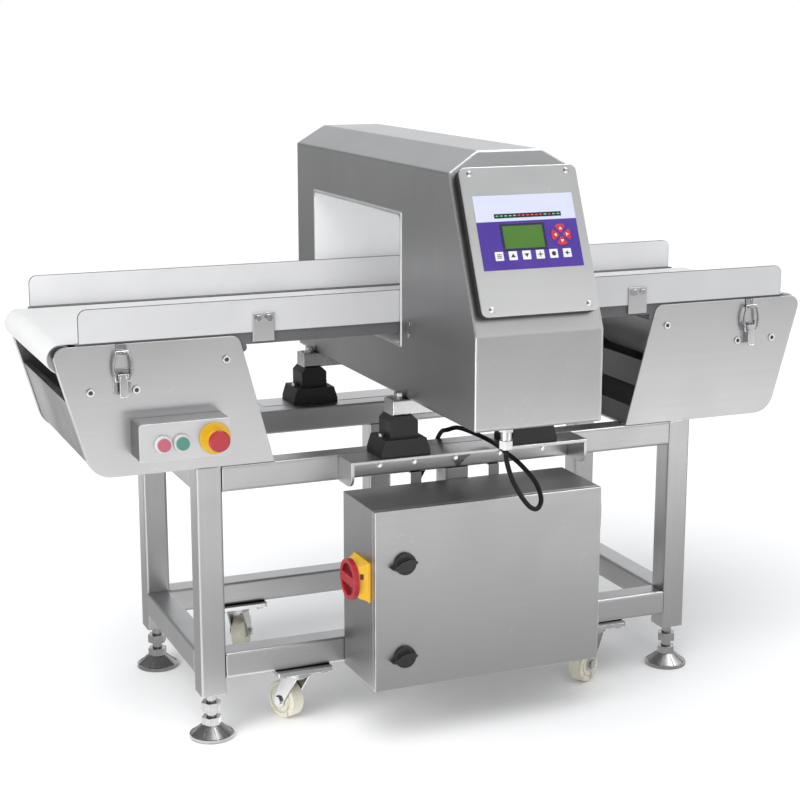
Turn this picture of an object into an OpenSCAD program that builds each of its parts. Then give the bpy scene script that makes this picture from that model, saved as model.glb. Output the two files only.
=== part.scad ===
// Food metal detector on a wheeled stand: a search head with a tunnel, a flat belt conveyor that
// runs through it, and a switch cabinet below. X runs along the belt, -Y is the operator's side.

/* [Stand] */
// Length of the stand over its legs
stand_l = 1062; // [980:1:1120]
// Width of the stand over its legs
stand_w = 455; // [440:1:470]
// Side of the square steel tube
tube = 50; // [40:1:54]
// Wall of the square steel tube
tube_wall = 2.5; // [1.5:0.5:4]
// Height of the leg ends above the floor
leg_foot_z = 90; // [84:1:100]
// Height of the underside of the lower rails
lower_rail_z = 122; // [118:1:135]
// Height of the top of the stand
stand_top = 541; // [530:1:552]
// Thickness of the legs' end plates
end_plate_t = 6; // [4:1:10]

/* [Mount shelves] */
// Half length of a mount shelf
shelf_half = 250; // [230:1:270]
// Reach of a shelf beyond the rail
shelf_reach = 70; // [66:1:80]
// Thickness of the shelf sheet
shelf_t = 6; // [4:1:8]

/* [Levelling feet] */
// Radius of a foot's disc
foot_r = 43; // [34:1:50]
// Thickness of a foot's rim
foot_rim = 7; // [5:1:9]
// Height of a foot's cone above the floor
foot_cone_h = 26; // [20:1:28]
// Radius of a foot's threaded stem
foot_stem_r = 10; // [8:0.5:12]
// Width across the flats of the foot nuts
foot_nut_af = 34; // [30:1:36]

/* [Casters] */
// Distance of the caster swivels from the middle of the stand
caster_x = 327; // [300:1:380]
// Radius of a caster wheel
wheel_r = 37.5; // [34:0.5:40]
// Width of a caster wheel
wheel_w = 30; // [26:1:34]
// Trail of a caster wheel behind its swivel
caster_trail = 39; // [34:1:44]
// Height of the caster axles above the floor
axle_z = 39.5; // [38.5:0.5:44]

/* [Head] */
// Length of the head along the belt
head_l = 250; // [240:1:270]
// Reach of the head in front of the belt line
head_front = 574; // [560:1:600]
// Reach of the head behind the belt line
head_rear = 347; // [335:1:370]
// Height of the underside of the head
head_bottom = 648; // [640:1:654]
// Height where the front face turns back
fold_z = 818; // [805:1:830]
// Reach of the top's front edge in front of the belt line
top_front = 439; // [420:1:455]
// Width of the sloped shoulders of the head
shoulder_w = 63; // [50:1:70]
// Height of the sloped shoulders of the head
shoulder_h = 37; // [30:1:45]
// Thickness of the head's steel sheet
head_wall = 3; // [2:0.5:4]
// Bend radius of the head's edges
head_round = 5; // [4.5:0.5:8]

/* [Tunnel] */
// Space between the conveyor bed and each side wall of the tunnel
tunnel_space = 12; // [8:1:30]
// Height of the head above the tunnel
head_over = 129; // [100:1:150]
// Height of the tunnel's floor
tunnel_z = 750; // [744:1:756]
// Clear height of the tunnel
tunnel_h = 244; // [225:1:255]
// Wall of the tunnel liner
liner_t = 5; // [3:0.5:8]

/* [Console] */
// Width of the console lid
lid_w = 230; // [222:1:236]
// Gap below the lid on the slope
lid_foot = 30; // [25:1:35]
// Gap above the lid on the slope
lid_head = 38; // [30:1:45]
// Depth of the lid tray
lid_t = 12; // [8:1:16]
// Thickness of the lid's sheet
lid_sheet = 2; // [1.5:0.5:3]
// Thickness of the lid's gasket
gasket_t = 8; // [5:1:10]
// Corner radius of the lid
lid_round = 12; // [10:1:18]

/* [Control panel] */
// Margin of the label sheet on each side of the lid
label_margin = 17.5; // [12:0.5:22]
// Thickness of the label sheet
label_t = 0.8; // [0.6:0.1:1.5]

/* [Belt] */
// Distance of the belt's edges from the outer faces of the bed
belt_margin = 19; // [16:1:40]
// Height of the belt's carrying face
belt_top = 789; // [785:1:793]
// Thickness of the belt
belt_t = 2; // [1.5:0.1:2.5]
// Distance of the end rollers from the middle
roller_x = 768; // [760:1:775]
// Radius of the end rollers
roller_r = 24.7; // [22:0.1:26]
// Radius of the roller shafts
shaft_r = 8; // [6:0.5:10]
// Distance of the drive drum from the middle
drum_x = 600; // [580:1:620]
// Height of the drive drum's axis
drum_z = 665; // [650:1:680]
// Radius of the drive drum
drum_r = 40; // [34:1:46]
// Radius of the drum's fixed axle
drum_axle_r = 15; // [12:1:18]

/* [Conveyor] */
// Distance of the bed's ends behind the axes of the end rollers
bed_back = 24; // [23:1:38]
// Height of the bed's side channels
channel_h = 22; // [18:1:24]
// Thickness of the conveyor's steel sheet
sheet_t = 2; // [1.5:0.5:2]
// Height of the side guards
guard_h = 62; // [50:1:80]
// Distance of the guards' ends behind the ends of the bed
guard_back = 4; // [0:1:24]
// Thickness of the side guards
guard_t = 4; // [3:0.5:5]
// Distance of the guard clamps from the middle
clamp_x = 396; // [380:1:405]

/* [Side plates] */
// Distance of a side plate's inner foot from the middle
plate_inner = 378; // [360:1:390]
// Distance of a side plate's outer foot from the middle
plate_outer = 723; // [715:1:730]
// Lean of the plate's inner edge towards its top
inner_lean = 65; // [55:1:75]
// Lean of the plate's outer edge towards its top
outer_lean = 69; // [62:1:75]
// Corner radius at the plate's outer foot
plate_foot_round = 46; // [30:1:60]
// Thickness of a side plate
plate_t = 2.5; // [2:0.5:3.5]
// Depth of the flange along the plate's outer edge
flange_d = 16; // [10:1:18]

/* [Control box] */
// Length of the control box
box_l = 171; // [164:1:180]
// Height of the control box
box_h = 70; // [64:1:76]
// Depth of the control box
box_d = 56; // [45:1:60]
// Distance of the control box's middle from the middle of the machine
box_x = 564.5; // [550:0.5:575]
// Height of the control box's middle
box_z = 612; // [600:1:625]

/* [Cabinet] */
// Width of the switch cabinet
cab_w = 472; // [450:1:490]
// Depth of the switch cabinet
cab_d = 164; // [150:1:180]
// Height of the switch cabinet
cab_h = 350; // [330:1:355]
// Height of the cabinet's underside
cab_z = 119; // [112:1:125]
// Sideways place of the cabinet's middle
cab_x = -5; // [-20:1:10]
// Thickness of the cabinet's sheet
cab_wall = 2; // [1.5:0.5:3]
// Depth of the door's tray
door_t = 11; // [10:1:16]
// Radius of a door lock's knob
lock_r = 22; // [18:1:26]
// Radius of the isolator's handle
isolator_r = 39; // [32:1:42]

/* [Hidden] */
$fn = 48;

// Overrun of a cut past the face that it opens
over = 1;
// Radial clearance of a shaft or slide in its bore
fit = 0.05;
// Space between pieces that move past each other
gap = 0.3;

// Stand
half_l = stand_l / 2;
half_w = stand_w / 2;
leg_x = half_l - tube / 2;
leg_y = half_w - tube / 2;
tube_round = 2 * tube_wall;
cap_t = 3;
upper_rail_z = stand_top - tube;
post_z = lower_rail_z + tube;

// Mount shelves
gusset_drop = tube - shelf_t;
gusset_round = 22;
rib_drop = 41;
rib_back = 7;

// Rubber mounts and head bars
mount_x = 136;
mount_reach = 25;
mount_y = half_w + mount_reach;
mount_base_w = 100;
mount_neck_w = 84;
mount_base_d = 78;
mount_base_h = 34;
mount_foot_h = 9;
mount_block_w = 56;
mount_block_d = 60;
mount_block_cut = 10;
mount_bolt_x = 35;
mount_bolt_r = 3.5;
mount_head_af = 10;
mount_head_h = 7;
bar_w = 45;
bar_h = 30;
bar_half = 156;
bar_z = head_bottom - bar_h;
mount_block_h = bar_z - stand_top - mount_base_h;
hex_h = 9;
hex_af = 16;
washer_r = 10.5;
washer_t = 2.5;
nut_h = 8;

// Conveyor's widths
plate_inset = 1;
plate_y = half_w - plate_inset;
bed_half = plate_y - plate_t;
belt_w = 2 * (bed_half - belt_margin);

// Head
tunnel_w = 2 * (bed_half + tunnel_space);
head_top = tunnel_z + tunnel_h + liner_t + head_over;
half_h = head_l / 2;
slope = atan((head_front - top_front) / (head_top - fold_z));
shoulder_z = head_top - shoulder_h;
liner_y = tunnel_w / 2 + liner_t;
liner_z0 = tunnel_z - liner_t;
liner_z1 = tunnel_z + tunnel_h + liner_t;
liner_proud = 1.5;
liner_round = 10;
coil_w = 12;
coil_h = 14;
coil_pitch = 62;

// Console
slope_l = norm([head_front - top_front, head_top - fold_z]);
lid_l = slope_l - lid_foot - lid_head;
lid_off = gasket_t + lid_t;
gasket_seat = 0.02;
gasket_inset = 1;
lid_end = lid_foot + lid_l;
lid_margin = 20;
lid_screw_x = lid_w / 2 - lid_margin;
lid_screw_foot = 12;
lid_screw_r = 6;
lid_screw_h = 3;
lid_shank_r = 2;
console_window_w = lid_w - 3 * lid_margin;
console_window_l = lid_l - 3 * lid_margin;
key_rise = 0.7;
pad_rise = 0.9;
window_proud = 0.4;
board_margin = 10;
board_w = console_window_w - 2 * board_margin;
board_l = console_window_l - 2 * board_margin;
board_t = 1.6;
board_post_r = 4;
board_post_l = 34;
chip_h = 9;

// Layout of the label, in shares of its width from the middle and of its length from the foot
label_w = lid_w - 2 * label_margin;
label_share = 0.5;
label_foot_share = 0.304;
label_l = lid_l * label_share;
label_foot = lid_foot + lid_l * label_foot_share;
window_shares = [-0.059, 0.43, 0.42, 0.333];
pad_shares = [0.318, 0.43, 0.148];
led_shares = [0.018, 0.719, 0.672, 0.06];
key_shares = [-0.331, 0.1815, 0.1362, 0.1185];
window_w = label_w * window_shares[2];
window_h = label_l * window_shares[3];
window_x = label_w * window_shares[0];
window_s = label_foot + label_l * window_shares[1];
key_side = label_l * key_shares[3];

// Depth of the whole head with its lid, which gives the middle of the machine
lid_toe = head_front - lid_foot * sin(slope) + lid_off * cos(slope);
line_y = (lid_toe - head_rear) / 2;

// Small bolts on the sides of the head
side_bolt_off = 41;
side_bolt_y = liner_y + side_bolt_off;
side_bolt_pitch = 22;
side_bolt_z = [fold_z - 2 * side_bolt_pitch, fold_z - side_bolt_pitch];
side_bolt_r = 5;
side_bolt_h = 3.5;

// Belt and rollers
roller_z = belt_top - belt_t - gap - roller_r;
roller_half = belt_w / 2 + 1;
belt_rise = 4;
channel_rise = 1;
belt_low = belt_top + channel_rise - channel_h + belt_rise;
guide_r = 8;
guide_in = 57;
guide_x = plate_inner + guide_in;
guide_z = belt_low - belt_t / 2 - gap - guide_r;
bearing_r = 14;
bearing_t = 13;
axle_block = 44;
axle_block_t = 12;

// Conveyor bed
bed_reach = roller_x - bed_back;
guard_half = bed_reach - guard_back;
channel_w = 12;
bed_top = belt_top - belt_t;
channel_z = belt_top + channel_rise - channel_h;
guard_round = 16;
guard_z = channel_z + channel_h;
clamp_w = 42;
clamp_t = 3;
clamp_rise = 5;
clamp_z = channel_z + clamp_rise;
clamp_h = 53;
clamp_bolt_r = 6.5;
clamp_bolt_h = 4.5;
clamp_bolt_x = 10;
spacer_h = 15;

// Side plates
plate_top = channel_z + channel_h - 2 * sheet_t;
plate_lip_round = 20;
plate_inner_round = 18;
plate_screw_r = 8;
plate_screw_h = 3.5;
pan_drop = 106;
pan_wall_z = plate_top - pan_drop;
pan_lip = 39;
pan_lip_z = stand_top + pan_lip;
tie_rise = 81;
tie_h = 50;
tie_z0 = stand_top + tie_rise;
tie_z1 = tie_z0 + tie_h;
flange_in = 6;
flange_x0 = roller_x - flange_in;
flange_turn = 35;
flange_x1 = plate_outer - flange_turn;
flange_drop = 86;
flange_z1 = plate_top - flange_drop;
pan_fold = 12;
plate_screw_shares = [[0.868, 0.653], [0.627, 0.65], [0.104, 0.826]];

// Toggle latches
latch_in = 59;
latch_x = plate_outer - latch_in;
latch_drop = 58;
latch_z = plate_top - latch_drop;
latch_off = 10;
latch_y = plate_y + latch_off;
latch_base_w = 32;
latch_base_h = 46;
latch_base_low = 33;
ear_x = 8;
ear_t = 2;
ear_r = 5;
latch_pin_r = 2;
lever_half = 7;
lever_t = 2;
lever_tail = 38;
lever_arm = 8;
bail_top_x = 11.5;
bail_mid_x = 17;
bail_x = 13;
bail_mid_rise = 18;
bail_mid_l = 14;
bail_r = 1.5;
bail_bend_r = 1.8;
catch_w = 18;
catch_z = channel_z;
bail_rise = 6;
bail_z = catch_z + bail_rise;
catch_h = 18;
ledge_t = bail_z - bail_r - gap - catch_z;

// Control box
box_wall = 2.5;
box_y = plate_y + box_d;
box_round = 4;
button_r = 12;
bezel_r = 16;
bezel_h = 8;
button_travel = 4;
button_t = 7.5;
button_stem_r = 5;
button_stem_l = 14;
stop_off = 42;
start_off = 7.5;
estop_off = 55;
button_drop = 4;
estop_drop = 1;
stop_x = box_x + stop_off;
start_x = box_x + start_off;
button_z = box_z - button_drop;
estop_x = box_x - estop_off;
estop_z = box_z - estop_drop;
estop_plate_r = 29.5;
estop_plate_t = 2;
estop_collar_r = 14;
estop_collar_h = 9;
estop_r = 20;
estop_h = 16;
estop_stem_r = 8;
estop_travel = 6;

// Cabinet
strap_t = 2;
strap_w = 22;
strap_x = 84;
cab_back = half_w + strap_t;
cab_front = cab_back + cab_d;
cab_l = cab_x - cab_w / 2;
cab_r = cab_x + cab_w / 2;
cab_top = cab_z + cab_h;
door_sheet = 1.5;
door_gap = 1.8;
door_back = cab_front - door_t;
rim_y = door_back - door_gap;
rim_w = 15;
seal_w = 9;
seal_inset = 4;
hinge_off = 5;
hinge_x = cab_r + hinge_off;
hinge_in = 4;
hinge_y = rim_y - hinge_in;
knuckle_r = 4.5;
knuckle_l = 24;
hinge_pin_r = 2.5;
hinge_rise = 62;
leaf_t = 2;
lock_inset = 59;
lock_x = cab_l + lock_inset;
lock_low = 63;
lock_pitch = 183;
lock_z = [cab_z + lock_low + lock_pitch, cab_z + lock_low];
lock_t = 7;
lock_wing_h = 9;
lock_wing_w = 18;
lock_wing_l = 30;
lock_wing_turn = 12;
lock_shaft_r = 6;
cam_t = 3;
cam_space = 1;
cam_l = 45;
cam_w = 16;
iso_reach = 99.5;
iso_rise = 207;
iso_y = cab_back + iso_reach;
iso_z = cab_z + iso_rise;
iso_w = 85;
iso_h = 78;
iso_plate_t = 3;
iso_foot_w = 76;
iso_top_w = 60;
iso_t = 20;
iso_gap = 1;
iso_disc_t = 3;
iso_grip_t = 7;
iso_grip_w = 18;
iso_ring = 8;
iso_lock_hole_r = 4;
iso_shaft_r = 6;
iso_seat = 9;
gear_plate_t = 2;
// Each unit on the mounting plate: its two sides, depth, foot and top as shares of the plate and cabinet
gear_shares = [
    [0.13, 0.4, 0.5, 0.35, 0.88], [-0.42, -0.32, 0.33, 0.56, 0.83], [-0.3, -0.2, 0.33, 0.56, 0.83],
    [-0.18, -0.08, 0.33, 0.56, 0.83], [-0.06, 0.04, 0.33, 0.56, 0.83], [-0.4, 0.4, 0.2, 0.1, 0.21]
];

// Casters and feet
caster_plate_l = 112;
caster_plate_w = 84;
caster_plate_t = 4;
caster_bolt_x = 42;
caster_bolt_y = 30;
caster_bolt_r = 7;
caster_bolt_h = 5;
race_r = 27;
race_t = 9;
race_pin_r = 6;
crown_z = lower_rail_z - 2 * caster_plate_t - race_t - gap;
crown_t = 4;
crown_r = 27;
fork_sheet = 3;
fork_space = 1.2;
fork_foot_r = 14;
axle_r = 4;
axle_nut_r = 8;
axle_nut_h = 5;
groove_w = 3;
groove_d = 2;
hub_r = 13;
hub_w = 1;
stem_in = 60;
stem_top_z = leg_foot_z + stem_in;
foot_neck_r = 17;
foot_low_nut = 15;
foot_nut_gap = 13;
foot_high_nut_z = foot_cone_h + foot_low_nut + foot_nut_gap;
foot_high_nut = 17;
foot_ribs = 8;
foot_rib_t = 4;
foot_rib_w = 4;
trail_front_left = 113;
trail_front_right = 213;
trail_rear_left = 60;
trail_rear_right = 150;

// Glands and cable
gland_x = -47.5;
gland_in = 34;
gland_y = head_front - gland_in;
gland_af = 25;
gland_hex_h = 10;
gland_neck_r = 10;
gland_l = 43;
gland_cap_l = 17;
gland_cap_af = 23;
gland_cap_h = 15;
cab_gland_off = 75;
cab_gland_rise = 271;
cab_gland_x = cab_x - cab_gland_off;
cab_gland_z = cab_z + cab_gland_rise;
cab_gland_l = 25;
cable_r = 4.5;
cable_space = 0.3;
cable_sides = 8;
cable_steps = 3;
cable_points = [
    [-47.5, -540, 613], [-47.5, -540, 598], [-45.8, -541, 581], [-38, -542, 555],
    [-25, -541, 529], [-9, -538, 506], [8, -532, 489], [25, -524, 482.5],
    [38, -514, 491], [41.5, -502, 506], [38, -488, 524], [28, -470, 542],
    [22.5, -440, 554], [23, -400, 558], [33, -350, 557], [44, -300, 553],
    [47, -262, 552], [31, -240, 560], [2, -226, 571], [-12, -204, 563],
    [-14, -184, 556], [-15, -167, 540], [-22, -160, 515], [-42, -160, 478], [-66, -165, 438],
    [-80, -180, 402], [-80, -204, 390], [-80, -222, 390]
];

// Colours
steel = [0.74, 0.75, 0.76];
dark_steel = [0.52, 0.53, 0.54];
white = [0.93, 0.93, 0.94];
black = [0.08, 0.08, 0.09];
grey = [0.36, 0.36, 0.37];
cream = [0.86, 0.82, 0.7];
red = [0.75, 0.12, 0.14];
pink_red = [0.82, 0.28, 0.33];
teal = [0.1, 0.5, 0.42];
yellow = [0.93, 0.8, 0.12];
purple = [0.3, 0.2, 0.6];
display_green = [0.31, 0.5, 0.19];
copper = [0.72, 0.42, 0.22];

// Outline with rounded corners: the arc that replaces corner v between its neighbours p and n
function unit(v) = v / norm(v);
function corner_arc(p, v, n, r, k) = r <= 0 ? [v] :
    let(
        d1 = unit(p - v),
        d2 = unit(n - v),
        a = acos(d1 * d2) / 2,
        c = v + unit(d1 + d2) * r / sin(a),
        s = v + d1 * r / tan(a),
        e = v + d2 * r / tan(a),
        a1 = atan2(s.y - c.y, s.x - c.x),
        a2 = atan2(e.y - c.y, e.x - c.x),
        da = (a2 - a1 + 540) % 360 - 180
    )
    [for (j = [0:k]) c + r * [cos(a1 + da * j / k), sin(a1 + da * j / k)]];
function rounded(pts, radii, k = 5) =
    let(m = len(pts))
    [for (i = [0:m - 1]) each corner_arc(pts[(i + m - 1) % m], pts[i], pts[(i + 1) % m], radii[i], k)];

// Anticlockwise outline moved inwards by d
function edge_normal(a, b) = let(u = unit(b - a)) [-u.y, u.x];
function inset(pts, d) =
    let(m = len(pts))
    [for (i = [0:m - 1])
        let(
            n1 = edge_normal(pts[(i + m - 1) % m], pts[i]),
            n2 = edge_normal(pts[i], pts[(i + 1) % m])
        )
        pts[i] + d * (n1 + n2) / (1 + n1 * n2)];

// Rectangle round the origin with rounded corners
function rect_points(w, h, r, k = 4) =
    rounded([[-w / 2, -h / 2], [w / 2, -h / 2], [w / 2, h / 2], [-w / 2, h / 2]], [r, r, r, r], k);

// Everything is measured from the belt's middle and moved so that the origin is under the centre
module on_line() translate([0, line_y, 0]) children();
module both_sides() {
    children();
    mirror([0, 1, 0]) children();
}
module both_ends() {
    children();
    mirror([1, 0, 0]) children();
}
module all_corners() both_ends() both_sides() children();
module at_side(end, side) mirror([end < 0 ? 1 : 0, 0, 0]) mirror([0, side < 0 ? 0 : 1, 0]) children();

// Outline in X and Z, drawn from y0 to y1; outline in Y and Z, drawn from x0 to x1
module slab(pts, y0, y1) translate([0, y1, 0]) rotate([90, 0, 0]) linear_extrude(y1 - y0) polygon(pts);
module beam(pts, x0, x1) translate([x0, 0, 0]) rotate([90, 0, 90]) linear_extrude(x1 - x0) polygon(pts);
module block(x0, x1, y0, y1, z0, z1) translate([x0, y0, z0]) cube([x1 - x0, y1 - y0, z1 - z0]);
module hex(af, h) cylinder(h = h, r = af / sqrt(3), $fn = 6);
module ring(r_out, r_in, h) difference() {
    cylinder(h = h, r = r_out);
    translate([0, 0, -over]) cylinder(h = h + 2 * over, r = r_in);
}

// Places on a face towards the operator, and on the console's slope: local Z points outwards
module on_front(x, y, z) translate([x, -y, z]) rotate([90, 0, 0]) children();
module on_slope(x, s, off) translate([0, -head_front, fold_z]) rotate([90 - slope, 0, 0])
    translate([x, s, off]) children();

// Square steel tube of length l along Z
module square_tube(l) linear_extrude(l) difference() {
    polygon(rect_points(tube, tube, tube_round));
    polygon(rect_points(tube - 2 * tube_wall, tube - 2 * tube_wall, tube_round - tube_wall));
}
module rail_x(l, y, z) translate([-l / 2, y, z + tube / 2]) rotate([90, 0, 90]) square_tube(l);
module rail_y(l, x, z) translate([x, l / 2, z + tube / 2]) rotate([90, 0, 0]) square_tube(l);

// Four legs of square tube, capped on top, with a tapped plate in the foot of each
module stand_legs() color(steel) on_line() all_corners() translate([leg_x, -leg_y, 0]) {
    translate([0, 0, leg_foot_z + end_plate_t]) square_tube(stand_top - cap_t - leg_foot_z - end_plate_t);
    translate([0, 0, leg_foot_z]) linear_extrude(end_plate_t) difference() {
        polygon(rect_points(tube, tube, tube_round));
        circle(r = foot_stem_r + fit);
    }
    translate([0, 0, stand_top - cap_t]) linear_extrude(cap_t)
        polygon(rect_points(tube, tube, tube_round));
}

// Upper and lower rails all round and a post in the middle of the front and the rear
module stand_rails() color(steel) on_line() {
    for (z = [lower_rail_z, upper_rail_z]) {
        both_sides() rail_x(stand_l - 2 * tube, -leg_y, z);
        both_ends() rail_y(stand_w - 2 * tube, leg_x, z);
    }
    both_sides() translate([0, -leg_y, post_z]) square_tube(upper_rail_z - post_z);
}

// Shelves that carry the rubber mounts: a sheet with two end gussets and a rib in the middle
module mount_shelves() color(steel) on_line() both_sides() difference() {
    union() {
        block(-shelf_half, shelf_half, -half_w - shelf_reach, -half_w, stand_top - shelf_t, stand_top);
        both_ends() beam(rounded([
            [-half_w - shelf_reach, stand_top - shelf_t],
            [-half_w - shelf_reach, upper_rail_z],
            [-half_w, upper_rail_z],
            [-half_w, stand_top - shelf_t]
        ], [0, gusset_round, 0, 0]), shelf_half - shelf_t, shelf_half);
        beam([
            [-half_w - shelf_reach + rib_back, stand_top - shelf_t],
            [-half_w, stand_top - shelf_t - rib_drop],
            [-half_w, stand_top - shelf_t]
        ], -shelf_t / 2, shelf_t / 2);
    }
    for (m = [-1, 1], b = [-1, 1]) translate([m * mount_x + b * mount_bolt_x, -mount_y, upper_rail_z])
        cylinder(h = tube + over, r = mount_bolt_r + fit);
}

// Bolting plates under the lower rails, with the casters' own top plates and bolts
module caster_plates() color(steel) on_line() all_corners()
    translate([caster_x, -leg_y, lower_rail_z]) {
        translate([0, 0, -2 * caster_plate_t]) linear_extrude(2 * caster_plate_t)
            polygon(rect_points(caster_plate_l, caster_plate_w, tube_round));
        for (i = [-1, 1], j = [-1, 1]) translate([
            i * caster_bolt_x, j * caster_bolt_y, -2 * caster_plate_t - caster_bolt_h
        ]) hex(2 * caster_bolt_r, caster_bolt_h);
        translate([0, 0, -2 * caster_plate_t - race_t]) cylinder(h = race_t, r = race_r);
        translate([0, 0, crown_z - lower_rail_z - crown_t - race_t]) {
            cylinder(h = 2 * caster_plate_t + race_t + crown_t, r = race_pin_r);
            cylinder(h = race_t - gap, r = 2 * race_pin_r);
        }
    }

// Bell mounts of rubber under the head, each bolted down by its two shoulders
module rubber_mounts() color(black) on_line() both_sides() both_ends()
    translate([mount_x, -mount_y, stand_top]) {
        difference() {
            rotate([90, 0, 0]) translate([0, 0, -mount_base_d / 2]) linear_extrude(mount_base_d)
                polygon([
                    [-mount_base_w / 2, 0], [mount_base_w / 2, 0],
                    [mount_base_w / 2, mount_foot_h], [mount_neck_w / 2, mount_base_h],
                    [-mount_neck_w / 2, mount_base_h], [-mount_base_w / 2, mount_foot_h]
                ]);
            for (b = [-1, 1]) translate([b * mount_bolt_x, 0, -over])
                cylinder(h = mount_base_h + 2 * over, r = mount_bolt_r + fit);
        }
        translate([0, mount_block_d / 2, mount_base_h]) rotate([90, 0, 0]) linear_extrude(mount_block_d)
            polygon([
                [-mount_block_w / 2, 0], [mount_block_w / 2, 0],
                [mount_block_w / 2, mount_block_h - mount_block_cut],
                [mount_block_w / 2 - mount_block_cut, mount_block_h],
                [mount_block_cut - mount_block_w / 2, mount_block_h],
                [-mount_block_w / 2, mount_block_h - mount_block_cut]
            ]);
        for (b = [-1, 1]) translate([b * mount_bolt_x, 0, 0]) {
            translate([0, 0, -shelf_t - nut_h - mount_bolt_r])
                cylinder(h = shelf_t + nut_h + mount_bolt_r + mount_base_h, r = mount_bolt_r);
            translate([0, 0, -shelf_t - nut_h]) hex(hex_af, nut_h);
            translate([0, 0, mount_base_h]) hex(mount_head_af, mount_head_h);
        }
    }

// Two bars across the mounts carry the head, each held down by a bolt at either end
module head_bars() color(steel) on_line() both_sides() {
    translate([-bar_half, -mount_y, bar_z + bar_h / 2]) rotate([90, 0, 90]) linear_extrude(2 * bar_half)
        polygon(rect_points(bar_w, bar_h, tube_wall));
    both_ends() translate([mount_x, -mount_y, head_bottom]) {
        cylinder(h = washer_t, r = washer_r);
        translate([0, 0, washer_t]) hex(hex_af, hex_h);
    }
}

// Outline of the head seen along the belt, and from the operator's side
function head_side(d) = inset([
    [-head_front, head_bottom], [head_rear, head_bottom], [head_rear, head_top],
    [-top_front, head_top], [-head_front, fold_z]
], d);
function head_face(d) = inset([
    [-half_h, head_bottom], [half_h, head_bottom], [half_h, shoulder_z],
    [half_h - shoulder_w, head_top], [-half_h + shoulder_w, head_top], [-half_h, shoulder_z]
], d);
module head_form(d, r) intersection() {
    beam(rounded(head_side(d), [r, r, r, r, r]), -half_h - over, half_h + over);
    slab(rounded(head_face(d), [r, r, r, r, r, r]), -head_front - over, head_rear + over);
}

// Steel case of the search head: folded shell, open through the tunnel and under the console lid
module head_shell() color(steel) on_line() difference() {
    head_form(0, head_round);
    head_form(head_wall, head_round - head_wall);
    block(-half_h - over, half_h + over, -liner_y, liner_y, liner_z0, liner_z1);
    on_slope(0, lid_foot + lid_l / 2, -2 * head_wall) linear_extrude(3 * head_wall)
        polygon(rect_points(console_window_w, console_window_l, lid_round));
    translate([gland_x, -gland_y, head_bottom - over]) cylinder(h = head_wall + 2 * over, r = gland_neck_r);
}

// White plastic liner of the tunnel, which stands a little proud of both sides
module tunnel_liner() color(white) on_line() difference() {
    block(-half_h - liner_proud, half_h + liner_proud, -liner_y, liner_y, liner_z0, liner_z1);
    translate([0, 0, tunnel_z + tunnel_h / 2])
        beam(rect_points(tunnel_w, tunnel_h, liner_round), -half_h - 2 * over, half_h + 2 * over);
}

// One sending and two receiving coils wound round the liner
module search_coils() color(copper) on_line() for (i = [-1:1])
    translate([i * coil_pitch - coil_w / 2, 0, (liner_z0 + liner_z1) / 2]) difference() {
        beam(rect_points(2 * liner_y + 2 * coil_h, liner_z1 - liner_z0 + 2 * coil_h, coil_h), 0, coil_w);
        beam(rect_points(2 * liner_y, liner_z1 - liner_z0, 0), -over, coil_w + over);
    }

// Signal electronics: a circuit board held behind the lid on four posts
module signal_board() color(teal) on_line() {
    board_s = lid_foot + lid_l / 2;
    on_slope(-board_w / 2, board_s - board_l / 2, lid_off - lid_sheet - board_post_l - board_t)
        cube([board_w, board_l, board_t]);
    for (i = [-1, 1], j = [-1, 1]) on_slope(
        i * (board_w / 2 - 2 * board_post_r), board_s + j * (board_l / 2 - 2 * board_post_r),
        lid_off - lid_sheet - board_post_l
    ) cylinder(h = board_post_l, r = board_post_r);
    for (j = [-1, 0, 1]) on_slope(
        -board_w / 5, board_s + j * board_l / 4 - board_l / 12,
        lid_off - lid_sheet - board_post_l - board_t - chip_h
    ) cube([board_w * 2 / 5, board_l / 6, chip_h]);
}

module lid_plan(d) polygon(rect_points(lid_w - 2 * d, lid_l - 2 * d, lid_round - d));
module at_lid_screws() for (i = [-1, 1], s = [lid_foot + lid_screw_foot, lid_end - lid_screw_foot])
    on_slope(i * lid_screw_x, s, 0) children();

// Black gasket between the head and the console lid
module console_gasket() color(black) on_line() difference() {
    on_slope(0, lid_foot + lid_l / 2, gasket_seat) linear_extrude(gasket_t - gasket_seat) difference() {
        lid_plan(gasket_inset);
        polygon(rect_points(console_window_w, console_window_l, lid_round));
    }
    at_lid_screws() translate([0, 0, -over]) cylinder(h = gasket_t + 2 * over, r = lid_shank_r + fit);
}

// Steel tray with rounded corners, cut out behind the display
module console_lid() color(steel) on_line() difference() {
    on_slope(0, lid_foot + lid_l / 2, gasket_t) difference() {
        linear_extrude(lid_t) lid_plan(0);
        translate([0, 0, -over]) linear_extrude(lid_t - lid_sheet + over)
            polygon(rect_points(console_window_w, console_window_l, lid_round));
    }
    at_lid_screws() cylinder(h = lid_off + over, r = lid_shank_r + fit);
    on_slope(window_x - window_w / 2, window_s - window_h / 2, gasket_t)
        cube([window_w, window_h, lid_off]);
}

// Screws of the console lid and the small bolts low on the sides of the head
module head_screws() color(dark_steel) on_line() {
    at_lid_screws() {
        cylinder(h = lid_off, r = lid_shank_r);
        translate([0, 0, lid_off]) cylinder(h = lid_screw_h, r1 = lid_screw_r, r2 = lid_screw_r / 2);
    }
    both_ends() for (z = side_bolt_z) translate([half_h, -side_bolt_y, z]) rotate([0, 90, 0])
        hex(2 * side_bolt_r, side_bolt_h);
}

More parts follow.
